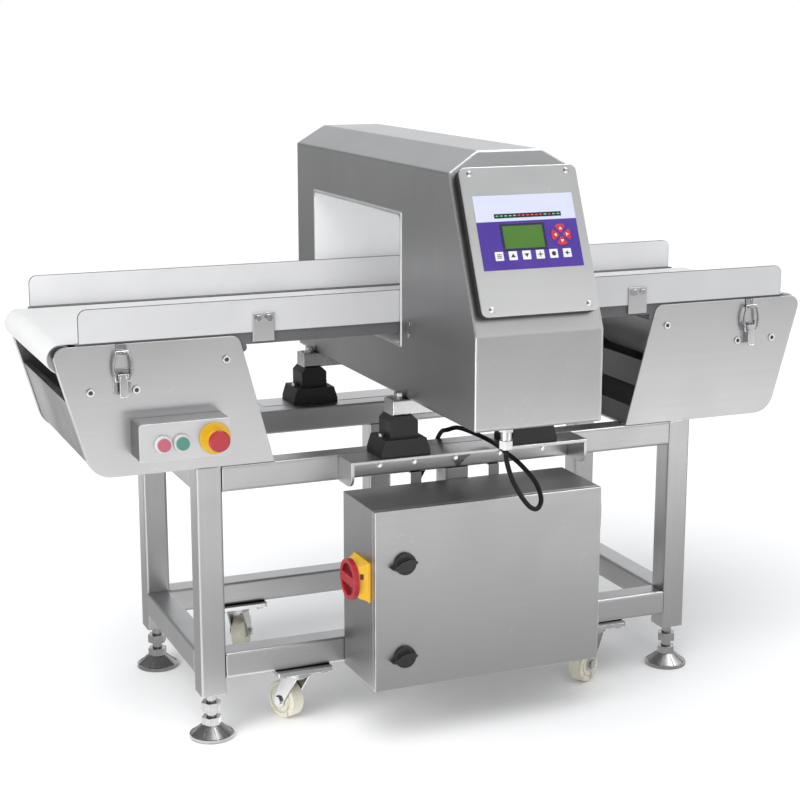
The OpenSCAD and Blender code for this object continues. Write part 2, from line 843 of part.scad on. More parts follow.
// Label sheet with its raised keys, round cursor pad and light strip
module control_panel() color(purple) on_line() {
    difference() {
        on_slope(0, label_foot + label_l / 2, lid_off) linear_extrude(label_t)
            polygon(rect_points(label_w, label_l, label_t));
        on_slope(window_x - window_w / 2, window_s - window_h / 2, lid_off - over)
            cube([window_w, window_h, label_t + 2 * over]);
    }
    for (i = [0:5]) on_slope(
        label_w * (key_shares[0] + i * key_shares[2]),
        label_foot + label_l * key_shares[1],
        lid_off + label_t
    ) linear_extrude(key_rise) polygon(rect_points(key_side, key_side, label_t));
    on_slope(label_w * pad_shares[0], label_foot + label_l * pad_shares[1], lid_off + label_t)
        cylinder(h = pad_rise, r = label_l * pad_shares[2]);
    on_slope(
        label_w * (led_shares[0] - led_shares[2] / 2),
        label_foot + label_l * (led_shares[1] - led_shares[3] / 2),
        lid_off + label_t
    ) cube([label_w * led_shares[2], label_l * led_shares[3], key_rise / 2]);
}

// Display behind a clear window that fills the cut-out in lid and label
module display_window() color(display_green) on_line()
    on_slope(window_x - window_w / 2, window_s - window_h / 2, lid_off - lid_sheet)
        cube([window_w, window_h, lid_sheet + label_t + window_proud]);

// Outline of the side plate at the right end
function plate_outline(d) = inset([
    [plate_inner, stand_top], [plate_outer, stand_top],
    [plate_outer + outer_lean, plate_top], [plate_inner + inner_lean, plate_top]
], d);
function plate_curve(d) =
    rounded(plate_outline(d), [0, plate_foot_round - d, plate_lip_round - d, plate_inner_round - d], 8);
module catch_notch() translate([latch_x - catch_w / 2 - over, -plate_y - over, catch_z - over])
    cube([catch_w + 2 * over, plate_t + 2 * over, catch_h + 2 * over]);

// Side plates of the conveyor: sheet with a flange folded in along the outer edge and the foot
module side_plates() color(steel) on_line() both_sides() both_ends() {
    difference() {
        slab(plate_curve(0), -plate_y, -bed_half);
        catch_notch();
    }
    difference() {
        intersection() {
            slab(plate_curve(0), -bed_half, flange_d - bed_half);
            union() {
                block(plate_inner, roller_x + tube, -plate_y, 0, 0, stand_top + sheet_t);
                block(flange_x1, roller_x + tube, -plate_y, 0, 0, flange_z1);
                block(flange_x0, roller_x + tube, -plate_y, 0, 0, channel_z - over);
            }
        }
        slab(plate_curve(sheet_t), -plate_y, 0);
    }
}
function plate_point(share) =
    let(z = share.y, inner = plate_inner + z * inner_lean, outer = plate_outer + z * outer_lean)
    [inner + share.x * (outer - inner), stand_top + z * (plate_top - stand_top)];
plate_screw_places = [for (share = plate_screw_shares) plate_point(share)];
module plate_screws() for (p = plate_screw_places) on_front(p.x, plate_y, p.y) difference() {
    cylinder(h = plate_screw_h, r1 = plate_screw_r, r2 = plate_screw_r - over);
    translate([0, 0, plate_screw_h / 2]) hex(plate_screw_r, plate_screw_h);
}

// Folded sheets that close the conveyor's ends below the belt, the tie between the plates
module end_pans() color(steel) on_line() both_ends() {
    difference() {
        slab(plate_curve(sheet_t), -bed_half, bed_half);
        slab(plate_curve(2 * sheet_t), -bed_half - over, bed_half + over);
        block(plate_inner - over, drum_x, -bed_half - over, bed_half + over, pan_lip_z, tie_z0);
        block(plate_inner - over, drum_x, -bed_half - over, bed_half + over, tie_z1, belt_top);
        block(drum_x - over, roller_x + tube, -bed_half - over, bed_half + over, pan_wall_z, belt_top);
    }
    pan_top_x = plate_outer + outer_lean * (pan_wall_z - stand_top) / (plate_top - stand_top);
    block(pan_top_x - 2 * sheet_t - pan_fold, pan_top_x - 2 * sheet_t, -bed_half + flange_d,
        bed_half - flange_d, pan_wall_z - sheet_t, pan_wall_z);
}

// Sliding bed of plastic profiles: a plate under the belt between two hollow side channels
module conveyor_bed() color(grey) on_line() {
    both_sides() beam([
        [-bed_half, channel_z], [-bed_half + channel_w, channel_z],
        [-bed_half + channel_w, channel_z + channel_h], [-bed_half, channel_z + channel_h]
    ], -bed_reach, bed_reach);
    deck_half = bed_half - channel_w / 2;
    block(-bed_reach, bed_reach, -deck_half, deck_half, bed_top - sheet_t, bed_top);
    both_ends() translate([guide_x, bed_half, guide_z]) rotate([90, 0, 0])
        cylinder(h = 2 * bed_half, r = guide_r);
}

// Belt path round the pulleys, each written as centre, radius of the belt's middle, turning sense
pulleys = [
    [[roller_x, roller_z], roller_r + gap + belt_t / 2, 1],
    [[-roller_x, roller_z], roller_r + gap + belt_t / 2, 1],
    [[-guide_x, guide_z], guide_r + gap + belt_t / 2, -1],
    [[guide_x, guide_z], guide_r + gap + belt_t / 2, -1],
    [[drum_x, drum_z], drum_r + gap + belt_t / 2, 1]
];
pulley_steps = [16, 16, 4, 4, 16];
function run_angle(a, b) =
    let(d = b[0] - a[0])
    atan2(d.y, d.x) - asin((b[2] * b[1] - a[2] * a[1]) / norm(d));
function turned(from, to, sense) = sense > 0 ? (to - from + 2 * 360) % 360 : -((from - to + 2 * 360) % 360);
function belt_loop(o) = [
    for (i = [0:len(pulleys) - 1])
        let(
            m = len(pulleys),
            here = pulleys[i],
            t0 = run_angle(pulleys[(i + m - 1) % m], here),
            sweep = turned(t0, run_angle(here, pulleys[(i + 1) % m]), here[2])
        )
        for (j = [0:pulley_steps[i]])
            let(t = t0 + sweep * j / pulley_steps[i])
            here[0] - (here[2] * here[1] - o) * [-sin(t), cos(t)]
];

// Endless belt: over both end rollers, back inside the bed and round the drive drum
module belt() color(white) on_line() difference() {
    slab(belt_loop(-belt_t / 2), -belt_w / 2, belt_w / 2);
    slab(belt_loop(belt_t / 2), -belt_w / 2 - over, belt_w / 2 + over);
}

// Guards along both edges of the belt, with rounded upper corners
module guards() color(white) on_line() both_sides() slab(rounded([
    [-guard_half, guard_z], [guard_half, guard_z],
    [guard_half, guard_z + guard_h], [-guard_half, guard_z + guard_h]
], [0, 0, guard_round, guard_round]), -plate_y, guard_t - plate_y);

// Clamps that hold the guards to the bed, each with a spacer behind and two bolts
module guard_clamps() color(steel) on_line() both_sides() both_ends() translate([clamp_x, 0, 0]) {
    block(-clamp_w / 2, clamp_w / 2, -plate_y - clamp_t, -plate_y, clamp_z, clamp_z + clamp_h);
    block(-clamp_w / 2, clamp_w / 2, -plate_y, -bed_half, clamp_z, clamp_z + spacer_h);
    for (b = [-1, 1]) on_front(b * clamp_bolt_x, plate_y + clamp_t, clamp_z + clamp_h - clamp_bolt_x)
        hex(2 * clamp_bolt_r - (b + 1), clamp_bolt_h);
}

// Flange bearings of the end rollers, and the drum's fixed axle in its two blocks
module roller_bearings() color(dark_steel) on_line() {
    both_sides() both_ends() on_front(roller_x, bed_half, roller_z) translate([0, 0, -bearing_t])
        ring(bearing_r, shaft_r + fit, bearing_t);
    translate([drum_x, bed_half, drum_z]) rotate([90, 0, 0]) cylinder(h = 2 * bed_half, r = drum_axle_r);
    both_sides() block(drum_x - axle_block / 2, drum_x + axle_block / 2, -bed_half,
        -bed_half + axle_block_t, drum_z - axle_block / 2, drum_z + axle_block / 2);
    all_corners() plate_screws();
}
module end_roller() translate([roller_x, 0, roller_z]) rotate([90, 0, 0]) {
    translate([0, 0, -roller_half]) cylinder(h = 2 * roller_half, r = roller_r);
    translate([0, 0, gap - bed_half]) cylinder(h = 2 * bed_half - 2 * gap, r = shaft_r);
}
module end_roller_right() color(steel) on_line() end_roller();
module end_roller_left() color(steel) on_line() mirror([1, 0, 0]) end_roller();

// Drum that drives the belt, turning on its fixed axle
module drive_drum() color(dark_steel) on_line() translate([drum_x, roller_half, drum_z])
    rotate([90, 0, 0]) ring(drum_r, drum_axle_r + fit, 2 * roller_half);

// Control box on the left front side plate: a closed case with holes for the switches' stems
module control_box() color(steel) on_line() difference() {
    translate([-box_x, 0, box_z]) slab(rect_points(box_l, box_h, box_round), -box_y, -plate_y);
    translate([-box_x, 0, box_z]) slab(
        rect_points(box_l - 2 * box_wall, box_h - 2 * box_wall, box_round - box_wall),
        -box_y + box_wall, -plate_y - box_wall
    );
    for (x = [stop_x, start_x]) on_front(-x, box_y - box_wall - over, button_z)
        cylinder(h = box_wall + 2 * over, r = button_stem_r + fit);
    on_front(-estop_x, box_y - box_wall - over, estop_z)
        cylinder(h = box_wall + 2 * over, r = estop_stem_r + fit);
}

// Fixed rings of the two buttons, and the yellow plate and collar of the emergency stop
module button_bezels() color(white) on_line() {
    for (x = [stop_x, start_x]) on_front(-x, box_y, button_z) ring(bezel_r, button_r + fit, bezel_h);
    on_front(-estop_x, box_y, estop_z) {
        ring(estop_plate_r, estop_stem_r + fit, estop_plate_t);
        ring(estop_collar_r, estop_stem_r + fit, estop_plate_t + estop_collar_h);
    }
}
module button(x) on_front(-x, box_y, button_z) {
    translate([0, 0, -button_stem_l])
        cylinder(h = button_stem_l + button_travel + button_t, r = button_stem_r);
    translate([0, 0, button_travel + gap]) cylinder(h = button_t, r = button_r);
}
module stop_button() color(pink_red) on_line() button(stop_x);
module start_button() color(teal) on_line() button(start_x);

// Mushroom head of the emergency stop on its stem
module estop_button() color(red) on_line() on_front(-estop_x, box_y, estop_z) {
    seat = estop_plate_t + estop_collar_h + estop_travel + gap;
    translate([0, 0, -button_stem_l]) cylinder(h = button_stem_l + seat + estop_h / 2, r = estop_stem_r);
    translate([0, 0, seat]) rotate_extrude() polygon(concat(
        [[0, 0], [estop_collar_r, 0]],
        corner_arc([estop_collar_r, 0], [estop_r, estop_h / 2], [estop_r, estop_h], estop_h / 4, 3),
        corner_arc([estop_r, estop_h / 2], [estop_r, estop_h], [0, estop_h], estop_h / 4, 4),
        [[0, estop_h]]
    ));
}

// Fixed halves of the four toggle latches: base with two ears on the side plate, catch on the bed
module latch_base() translate([latch_x, 0, 0]) {
    block(-latch_base_w / 2, latch_base_w / 2, -plate_y - ear_t, -plate_y,
        latch_z - latch_base_low, latch_z - latch_base_low + latch_base_h);
    for (e = [-1, 1]) translate([e * (ear_x + ear_t / 2) - ear_t / 2, 0, latch_z])
        rotate([90, 0, 90]) linear_extrude(ear_t) {
            translate([-latch_y, 0]) circle(r = ear_r);
            translate([-latch_y, -ear_r]) square([latch_y - plate_y, 2 * ear_r]);
        }
    translate([-ear_x - ear_t, -latch_y, latch_z]) rotate([0, 90, 0])
        cylinder(h = 2 * (ear_x + ear_t), r = latch_pin_r);
    block(-catch_w / 2, catch_w / 2, -plate_y - ear_t, -bed_half, catch_z, catch_z + catch_h);
    block(-catch_w / 2, catch_w / 2, -latch_y - 2 * bail_r, -plate_y, catch_z, catch_z + ledge_t);
}
module latch_bases() color(dark_steel) on_line() both_sides() both_ends() latch_base();

// Lever of a latch: a channel that turns on the pin between the ears, with a curled handle
module latch_lever() translate([latch_x, -latch_y, latch_z]) {
    difference() {
        union() {
            block(-lever_half, lever_half, -lever_t - latch_pin_r, -latch_pin_r, -lever_tail, ear_r);
            for (e = [-1, 1]) translate([e * (lever_half - lever_t / 2) - lever_t / 2, 0, 0])
                rotate([90, 0, 90]) linear_extrude(lever_t) {
                    circle(r = ear_r);
                    translate([-lever_t - latch_pin_r, -lever_arm - lever_t])
                        square([lever_t + latch_pin_r + lever_t, lever_arm + lever_t]);
                }
            translate([-lever_half, -2 * lever_t - latch_pin_r, -lever_tail])
                cube([2 * lever_half, 2 * lever_t, lever_t]);
        }
        translate([-lever_half - over, 0, 0]) rotate([0, 90, 0])
            cylinder(h = 2 * (lever_half + over), r = latch_pin_r + fit);
        translate([-lever_half - over, 0, -lever_arm]) rotate([0, 90, 0])
            cylinder(h = 2 * (lever_half + over), r = bail_r + fit);
    }
}

// Wire bail of a latch, hung on the lever below its pin and hooked over the catch
module rod(p, q, r, r_bend) {
    d = q - p;
    translate([p.x, 0, p.y]) rotate([0, atan2(d.x, d.y), 0]) cylinder(h = norm(d), r = r);
    translate([p.x, 0, p.y]) sphere(r = r_bend);
}
module latch_bail() translate([latch_x, -latch_y, 0]) {
    pin_z = latch_z - lever_arm;
    wire = [
        [bail_x, pin_z], [bail_mid_x, pin_z + bail_mid_rise],
        [bail_mid_x, pin_z + bail_mid_rise + bail_mid_l], [bail_top_x, bail_z],
        [-bail_top_x, bail_z], [-bail_mid_x, pin_z + bail_mid_rise + bail_mid_l],
        [-bail_mid_x, pin_z + bail_mid_rise], [-bail_x, pin_z]
    ];
    for (i = [0:len(wire) - 1]) rod(wire[i], wire[(i + 1) % len(wire)], bail_r, bail_bend_r);
}
module latch_lever_front_left() color(steel) on_line() at_side(-1, -1) latch_lever();
module latch_lever_front_right() color(steel) on_line() at_side(1, -1) latch_lever();
module latch_lever_rear_left() color(steel) on_line() at_side(-1, 1) latch_lever();
module latch_lever_rear_right() color(steel) on_line() at_side(1, 1) latch_lever();
module latch_bail_front_left() color(steel) on_line() at_side(-1, -1) latch_bail();
module latch_bail_front_right() color(steel) on_line() at_side(1, -1) latch_bail();
module latch_bail_rear_left() color(steel) on_line() at_side(-1, 1) latch_bail();
module latch_bail_rear_right() color(steel) on_line() at_side(1, 1) latch_bail();

// Folded case of the switch cabinet with a rim round the door opening, hung on two straps
module cabinet_box() color(steel) on_line() {
    difference() {
        block(cab_l, cab_r, -rim_y, -cab_back, cab_z, cab_top);
        block(cab_l + cab_wall, cab_r - cab_wall, -rim_y + cab_wall, -cab_back - cab_wall,
            cab_z + cab_wall, cab_top - cab_wall);
        block(cab_l + cab_wall + rim_w, cab_r - cab_wall - rim_w, -rim_y - over, -rim_y + 2 * cab_wall,
            cab_z + cab_wall + rim_w, cab_top - cab_wall - rim_w);
        translate([cab_gland_x, -cab_back + over, cab_gland_z]) rotate([90, 0, 0])
            cylinder(h = cab_wall + 2 * over, r = gland_neck_r);
    }
    for (e = [-1, 1]) translate([cab_x + e * strap_x - strap_w / 2, -cab_back, 0]) {
        translate([0, 0, cab_top - tube]) cube([strap_w, strap_t, upper_rail_z - cab_top + tube]);
        translate([0, 0, upper_rail_z - strap_t]) cube([strap_w, tube, strap_t]);
        translate([0, 0, lower_rail_z + tube_round]) cube([strap_w, strap_t, tube - 2 * tube_round]);
    }
    for (z = [cab_z + hinge_rise, cab_top - hinge_rise]) {
        translate([hinge_x, -hinge_y, z - knuckle_l]) cylinder(h = knuckle_l, r = knuckle_r);
        translate([hinge_x, -hinge_y, z]) cylinder(h = knuckle_l, r = hinge_pin_r);
        block(cab_r, cab_r + leaf_t, -hinge_y, -hinge_y + knuckle_l, z - knuckle_l, z);
    }
}

// Door: a shallow tray with a foamed seal inside its edge, on two outside hinges
module door_seal_plan(d) translate([cab_x, cab_z + cab_h / 2]) polygon(rect_points(
    cab_w - 2 * seal_inset - 2 * d, cab_h - 2 * seal_inset - 2 * d, seal_inset
));
module cabinet_door() color(steel) on_line() difference() {
    union() {
        difference() {
            block(cab_l, cab_r, -cab_front, -door_back, cab_z, cab_top);
            block(cab_l + door_sheet, cab_r - door_sheet, -cab_front + door_sheet, -door_back + over,
                cab_z + door_sheet, cab_top - door_sheet);
        }
        translate([0, -rim_y - gap, 0]) rotate([90, 0, 0])
            linear_extrude(cab_front - door_sheet - rim_y - gap) difference() {
                door_seal_plan(0);
                door_seal_plan(seal_w);
            }
        for (z = [cab_z + hinge_rise, cab_top - hinge_rise]) translate([0, 0, z + gap]) {
            translate([hinge_x, -hinge_y, 0]) cylinder(h = knuckle_l, r = knuckle_r);
            translate([cab_r, -cab_front + over, 0])
                cube([leaf_t, cab_front - hinge_y - over, knuckle_l]);
        }
    }
    for (z = [cab_z + hinge_rise, cab_top - hinge_rise]) translate([hinge_x, -hinge_y, z - over])
        cylinder(h = knuckle_l + 2 * over, r = hinge_pin_r + fit);
    for (z = lock_z) on_front(lock_x, door_back - over, z)
        cylinder(h = door_t + 2 * over, r = lock_shaft_r + fit);
}

// Turning lock of the door: a round knob with a wing, its shaft and the cam behind the rim
module door_lock(z) {
    on_front(lock_x, cab_front + gap, z) {
        cylinder(h = lock_t, r = lock_r - over);
        rotate([0, 0, lock_wing_turn]) linear_extrude(lock_t + lock_wing_h) polygon([
            [-lock_wing_l, 0], [-lock_wing_w / 2, -lock_wing_w / 2],
            [lock_wing_w / 2, -lock_wing_w / 2], [lock_r, 0],
            [lock_wing_w / 2, lock_wing_w / 2], [-lock_wing_w / 2, lock_wing_w / 2]
        ]);
    }
    cam_y = rim_y - cab_wall - cam_space - cam_t;
    on_front(lock_x, cam_y, z) {
        cylinder(h = cab_front + gap - cam_y, r = lock_shaft_r);
        linear_extrude(cam_t) {
            circle(r = cam_w / 2);
            translate([-cam_w / 2, 0]) square([cam_w, cam_l]);
        }
    }
}
module lock_upper() color(black) on_line() door_lock(lock_z[0]);
module lock_lower() color(black) on_line() door_lock(lock_z[1]);

// Yellow plate of the main switch on the left of the cabinet, rising with sloped sides to the handle
module isolator_plate() color(yellow) on_line() translate([cab_l, -iso_y, iso_z])
    rotate([0, -90, 0]) difference() {
        union() {
            linear_extrude(iso_plate_t) polygon(rect_points(iso_h, iso_w, tube_round));
            rotate([0, 0, 45])
                cylinder(h = iso_t, r1 = iso_foot_w / sqrt(2), r2 = iso_top_w / sqrt(2), $fn = 4);
        }
        translate([0, 0, iso_t - iso_seat]) cylinder(h = iso_seat + over, r = iso_shaft_r + fit);
    }

// Red rotary handle of the main switch: a raised ring with a grip across it and a padlock hole
module isolator_handle() color(red) on_line() translate([cab_l - iso_t, -iso_y, iso_z])
    rotate([0, -90, 0]) {
        translate([0, 0, gap - iso_seat]) cylinder(h = iso_seat + iso_gap, r = iso_shaft_r);
        translate([0, 0, iso_gap]) difference() {
            union() {
                cylinder(h = iso_disc_t, r = isolator_r);
                ring(isolator_r, isolator_r - iso_ring, iso_disc_t + iso_grip_t);
                intersection() {
                    cylinder(h = iso_disc_t + iso_grip_t, r = isolator_r - iso_ring / 2);
                    translate([-iso_grip_w / 2, -isolator_r, 0])
                        cube([iso_grip_w, 2 * isolator_r, iso_disc_t + iso_grip_t]);
                }
            }
            translate([isolator_r - iso_ring - iso_lock_hole_r, isolator_r / 5, -over])
                cylinder(h = iso_disc_t + 2 * over, r = iso_lock_hole_r);
        }
    }

// Mounting plate in the cabinet with the drive, contactors, terminals and the main switch's block
module cabinet_gear() color(grey) on_line() {
    gear_y = -cab_back - cab_wall;
    plate_w = cab_w - 2 * rim_w - 2 * cab_wall;
    plate_h = cab_h - 2 * rim_w - 2 * cab_wall;
    plate_z = cab_z + (cab_h - plate_h) / 2;
    front = gear_y - rim_w - gear_plate_t;
    for (i = [-1, 1], j = [-1, 1]) translate([
        cab_x + i * (plate_w / 2 - rim_w), gear_y, cab_z + cab_h / 2 + j * (plate_h / 2 - rim_w)
    ]) rotate([90, 0, 0]) cylinder(h = rim_w, r = rim_w / 2);
    block(cab_x - plate_w / 2, cab_x + plate_w / 2, front, gear_y - rim_w, plate_z, plate_z + plate_h);
    for (g = gear_shares) block(
        cab_x + g[0] * plate_w, cab_x + g[1] * plate_w, front - g[2] * cab_d, front,
        plate_z + g[3] * plate_h, plate_z + g[4] * plate_h
    );
    block(cab_l + cab_wall, cab_l + cab_wall + iso_h / 2, -iso_y - iso_h / 4, -iso_y + iso_h / 4,
        iso_z - iso_h / 4, iso_z + iso_h / 4);
}

// Metal cable glands under the head and on the back of the cabinet
module gland(l) difference() {
    union() {
        hex(gland_af, gland_hex_h);
        cylinder(h = l, r = gland_neck_r);
        translate([0, 0, l - gland_cap_l]) hex(gland_cap_af, gland_cap_h);
        translate([0, 0, -head_wall]) cylinder(h = head_wall + over, r = gland_neck_r);
    }
    translate([0, 0, gland_hex_h / 2]) cylinder(h = l, r = cable_r + cable_space);
}
module cable_glands() color(steel) on_line() {
    translate([gland_x, -gland_y, head_bottom]) rotate([180, 0, 0]) gland(gland_l);
    translate([cab_gland_x, -cab_back, cab_gland_z]) rotate([-90, 0, 0]) gland(cab_gland_l);
}

// Signal cable from the head to the cabinet: a tube along a smooth curve through the route's points
function curve_point(p0, p1, p2, p3, t) = 0.5 * (
    2 * p1 + (p2 - p0) * t + (2 * p0 - 5 * p1 + 4 * p2 - p3) * t * t
    + (3 * p1 - p0 - 3 * p2 + p3) * t * t * t
);
function cable_line(pts, k) =
    let(m = len(pts))
    [for (i = [0:m - 2]) for (j = [0:(i == m - 2 ? k : k - 1)])
        curve_point(pts[max(i - 1, 0)], pts[i], pts[i + 1], pts[min(i + 2, m - 1)], j / k)];
function line_direction(c, i) = unit(c[min(i + 1, len(c) - 1)] - c[max(i - 1, 0)]);
function side_vectors(c, i = 0, u = [1, 0, 0]) =
    let(
        d = line_direction(c, i),
        v = unit(u - (u * d) * d)
    )
    i == len(c) - 1 ? [v] : concat([v], side_vectors(c, i + 1, v));
module tube_along(c, r, n) {
    u = side_vectors(c);
    points = [for (i = [0:len(c) - 1]) for (j = [0:n - 1])
        c[i] + r * (u[i] * cos(360 * j / n) + cross(line_direction(c, i), u[i]) * sin(360 * j / n))];
    walls = [for (i = [0:len(c) - 2]) for (j = [0:n - 1]) each [
        [i * n + j, (i + 1) * n + j, i * n + (j + 1) % n],
        [i * n + (j + 1) % n, (i + 1) * n + j, (i + 1) * n + (j + 1) % n]
    ]];
    first = [for (j = [0:n - 1]) j];
    last = [for (j = [0:n - 1]) len(c) * n - 1 - j];
    polyhedron(points, concat(walls, [first, last]));
}
module signal_cable() color(black) on_line()
    tube_along(cable_line(cable_points, cable_steps), cable_r, cable_sides);

// Levelling foot: ribbed cone with a rim, two nuts and the threaded stem
module foot(end, side) at_side(end, side) translate([leg_x, -leg_y, 0]) {
    cylinder(h = foot_rim, r = foot_r);
    translate([0, 0, foot_rim])
        cylinder(h = foot_cone_h - foot_rim, r1 = foot_r - foot_rib_w, r2 = foot_neck_r);
    for (i = [0:foot_ribs - 1]) rotate([0, 0, 360 * i / foot_ribs]) slab([
        [0, foot_rim], [foot_r - foot_rib_w / 2, foot_rim],
        [foot_neck_r + foot_rib_w, foot_cone_h - foot_rib_w / 2],
        [foot_neck_r, foot_cone_h], [0, foot_cone_h]
    ], -foot_rib_t / 2, foot_rib_t / 2);
    translate([0, 0, foot_cone_h]) hex(foot_nut_af, foot_low_nut);
    translate([0, 0, foot_high_nut_z]) hex(foot_nut_af, foot_high_nut);
    translate([0, 0, foot_cone_h]) cylinder(h = stem_top_z - foot_cone_h, r = foot_stem_r);
}
module foot_front_left() color(dark_steel) on_line() foot(-1, -1);
module foot_front_right() color(dark_steel) on_line() foot(1, -1);
module foot_rear_left() color(dark_steel) on_line() foot(-1, 1);
module foot_rear_right() color(dark_steel) on_line() foot(1, 1);

// Swivel fork of a caster: crown on the race's pin, two tapered legs and the axle with its nuts
module at_caster(end, side) translate([end * caster_x, side * leg_y, 0]) children();
module fork(trail) rotate([0, 0, trail]) {
    leg_in = wheel_w / 2 + fork_space;
    leg_out = leg_in + fork_sheet;
    translate([0, 0, crown_z - crown_t]) ring(crown_r, race_pin_r + fit, crown_t);
    for (e = [-1, 1]) slab([
        [-crown_r / 2, crown_z], [-crown_r / 2, crown_z - 2 * crown_t],
        [caster_trail - fork_foot_r, axle_z], [caster_trail + fork_foot_r, axle_z],
        [crown_r, crown_z - 2 * crown_t], [crown_r, crown_z]
    ], e > 0 ? leg_in : -leg_out, e > 0 ? leg_out : -leg_in);
    for (e = [-1, 1]) translate([caster_trail, e * leg_in + (e > 0 ? fork_sheet : 0), axle_z])
        rotate([90, 0, 0]) cylinder(h = fork_sheet, r = fork_foot_r);
    translate([caster_trail, leg_out + axle_nut_h, axle_z]) rotate([90, 0, 0])
        cylinder(h = 2 * (leg_out + axle_nut_h), r = axle_r);
    for (e = [-1, 1]) translate([caster_trail, e * (leg_out + axle_nut_h / 2) + axle_nut_h / 2, axle_z])
        rotate([90, 0, 0]) hex(2 * axle_nut_r, axle_nut_h);
}
module fork_front_left() color(steel) on_line() at_caster(-1, -1) fork(trail_front_left);
module fork_front_right() color(steel) on_line() at_caster(1, -1) fork(trail_front_right);
module fork_rear_left() color(steel) on_line() at_caster(-1, 1) fork(trail_rear_left);
module fork_rear_right() color(steel) on_line() at_caster(1, 1) fork(trail_rear_right);

// Caster wheel: a tyre with a groove on each face round the hub
module wheel(trail) rotate([0, 0, trail]) translate([caster_trail, 0, axle_z]) rotate([90, 0, 0])
    rotate_extrude() polygon(rounded([
        [axle_r + fit, -wheel_w / 2 - hub_w], [hub_r, -wheel_w / 2 - hub_w],
        [hub_r, -wheel_w / 2], [wheel_r * 2 / 3, -wheel_w / 2],
        [wheel_r * 2 / 3, -wheel_w / 2 + groove_d], [wheel_r * 2 / 3 + groove_w, -wheel_w / 2 + groove_d],
        [wheel_r * 2 / 3 + groove_w, -wheel_w / 2], [wheel_r, -wheel_w / 2],
        [wheel_r, wheel_w / 2], [wheel_r * 2 / 3 + groove_w, wheel_w / 2],
        [wheel_r * 2 / 3 + groove_w, wheel_w / 2 - groove_d], [wheel_r * 2 / 3, wheel_w / 2 - groove_d],
        [wheel_r * 2 / 3, wheel_w / 2], [hub_r, wheel_w / 2],
        [hub_r, wheel_w / 2 + hub_w], [axle_r + fit, wheel_w / 2 + hub_w]
    ], [0, 0, 0, 0, 0, 0, 0, groove_w, groove_w, 0, 0, 0, 0, 0, 0, 0], 4));
module wheel_front_left() color(cream) on_line() at_caster(-1, -1) wheel(trail_front_left);
module wheel_front_right() color(cream) on_line() at_caster(1, -1) wheel(trail_front_right);
module wheel_rear_left() color(cream) on_line() at_caster(-1, 1) wheel(trail_rear_left);
module wheel_rear_right() color(cream) on_line() at_caster(1, 1) wheel(trail_rear_right);

stand_legs();
stand_rails();
mount_shelves();
caster_plates();
rubber_mounts();
head_bars();
head_shell();
tunnel_liner();
search_coils();
signal_board();
console_gasket();
console_lid();
head_screws();
control_panel();
display_window();
side_plates();
end_pans();
conveyor_bed();
belt();
guards();
guard_clamps();
roller_bearings();
control_box();
button_bezels();
latch_bases();
cabinet_box();
isolator_plate();
cable_glands();
signal_cable();
cabinet_gear();
foot_front_left();
foot_front_right();
foot_rear_left();
foot_rear_right();
fork_front_left();
fork_front_right();
fork_rear_left();
fork_rear_right();
wheel_front_left();
wheel_front_right();
wheel_rear_left();
wheel_rear_right();
end_roller_left();
end_roller_right();
drive_drum();
cabinet_door();
lock_upper();
lock_lower();
isolator_handle();
stop_button();
start_button();
estop_button();
latch_lever_front_left();
latch_lever_front_right();
latch_lever_rear_left();
latch_lever_rear_right();
latch_bail_front_left();
latch_bail_front_right();
latch_bail_rear_left();
latch_bail_rear_right();
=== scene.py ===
"""Looks of a food metal detector: a search head over a flat belt conveyor on a wheeled stand.

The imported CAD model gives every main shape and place; this script adds finishes, small fittings,
printed marks, the cable, studio light and the camera. All lengths are in metres.
"""

import math

import bmesh
import bpy
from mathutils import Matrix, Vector


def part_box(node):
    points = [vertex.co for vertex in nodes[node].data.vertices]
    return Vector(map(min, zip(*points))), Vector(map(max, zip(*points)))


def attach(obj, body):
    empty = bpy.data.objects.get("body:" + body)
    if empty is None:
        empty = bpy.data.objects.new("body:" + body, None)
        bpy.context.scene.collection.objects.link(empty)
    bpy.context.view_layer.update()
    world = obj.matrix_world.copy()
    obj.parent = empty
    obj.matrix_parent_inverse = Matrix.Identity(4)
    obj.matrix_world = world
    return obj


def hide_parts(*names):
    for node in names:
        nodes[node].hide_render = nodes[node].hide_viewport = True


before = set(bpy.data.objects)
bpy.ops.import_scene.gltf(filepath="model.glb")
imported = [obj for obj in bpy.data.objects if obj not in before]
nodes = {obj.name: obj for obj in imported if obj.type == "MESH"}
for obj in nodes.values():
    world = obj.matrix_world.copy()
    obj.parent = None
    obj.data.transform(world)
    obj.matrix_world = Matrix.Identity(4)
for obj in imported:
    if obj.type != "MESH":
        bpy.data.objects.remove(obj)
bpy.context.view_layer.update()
scene = bpy.context.scene

# Camera.
# The photograph was taken from the front left, a little above the belt. Y is counted from the
# belt's middle line, which lies behind the middle of the whole machine.
BELT_LOW, BELT_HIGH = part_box("belt")
LINE_Y = (BELT_LOW.y + BELT_HIGH.y) / 2
CAMERA_PLACE = (-1.3785, LINE_Y - 3.2479, 1.3619)
CAMERA_TURN = (math.radians(77.513), 0.0, math.radians(-22.581))
CAMERA_LENS, CAMERA_FRAME = 78.27, 36.0
NEAREST = 0.05


def add_object(name, data):
    """A new object of the scene with this mesh, curve, lamp or camera."""
    made = bpy.data.objects.new(name, data)
    scene.collection.objects.link(made)
    return made


camera_data = bpy.data.cameras.new("camera")
camera_data.lens = CAMERA_LENS
camera_data.sensor_width = CAMERA_FRAME
camera_data.clip_start = NEAREST
camera = add_object("camera", camera_data)
camera.location = CAMERA_PLACE
camera.rotation_euler = CAMERA_TURN
scene.camera = camera

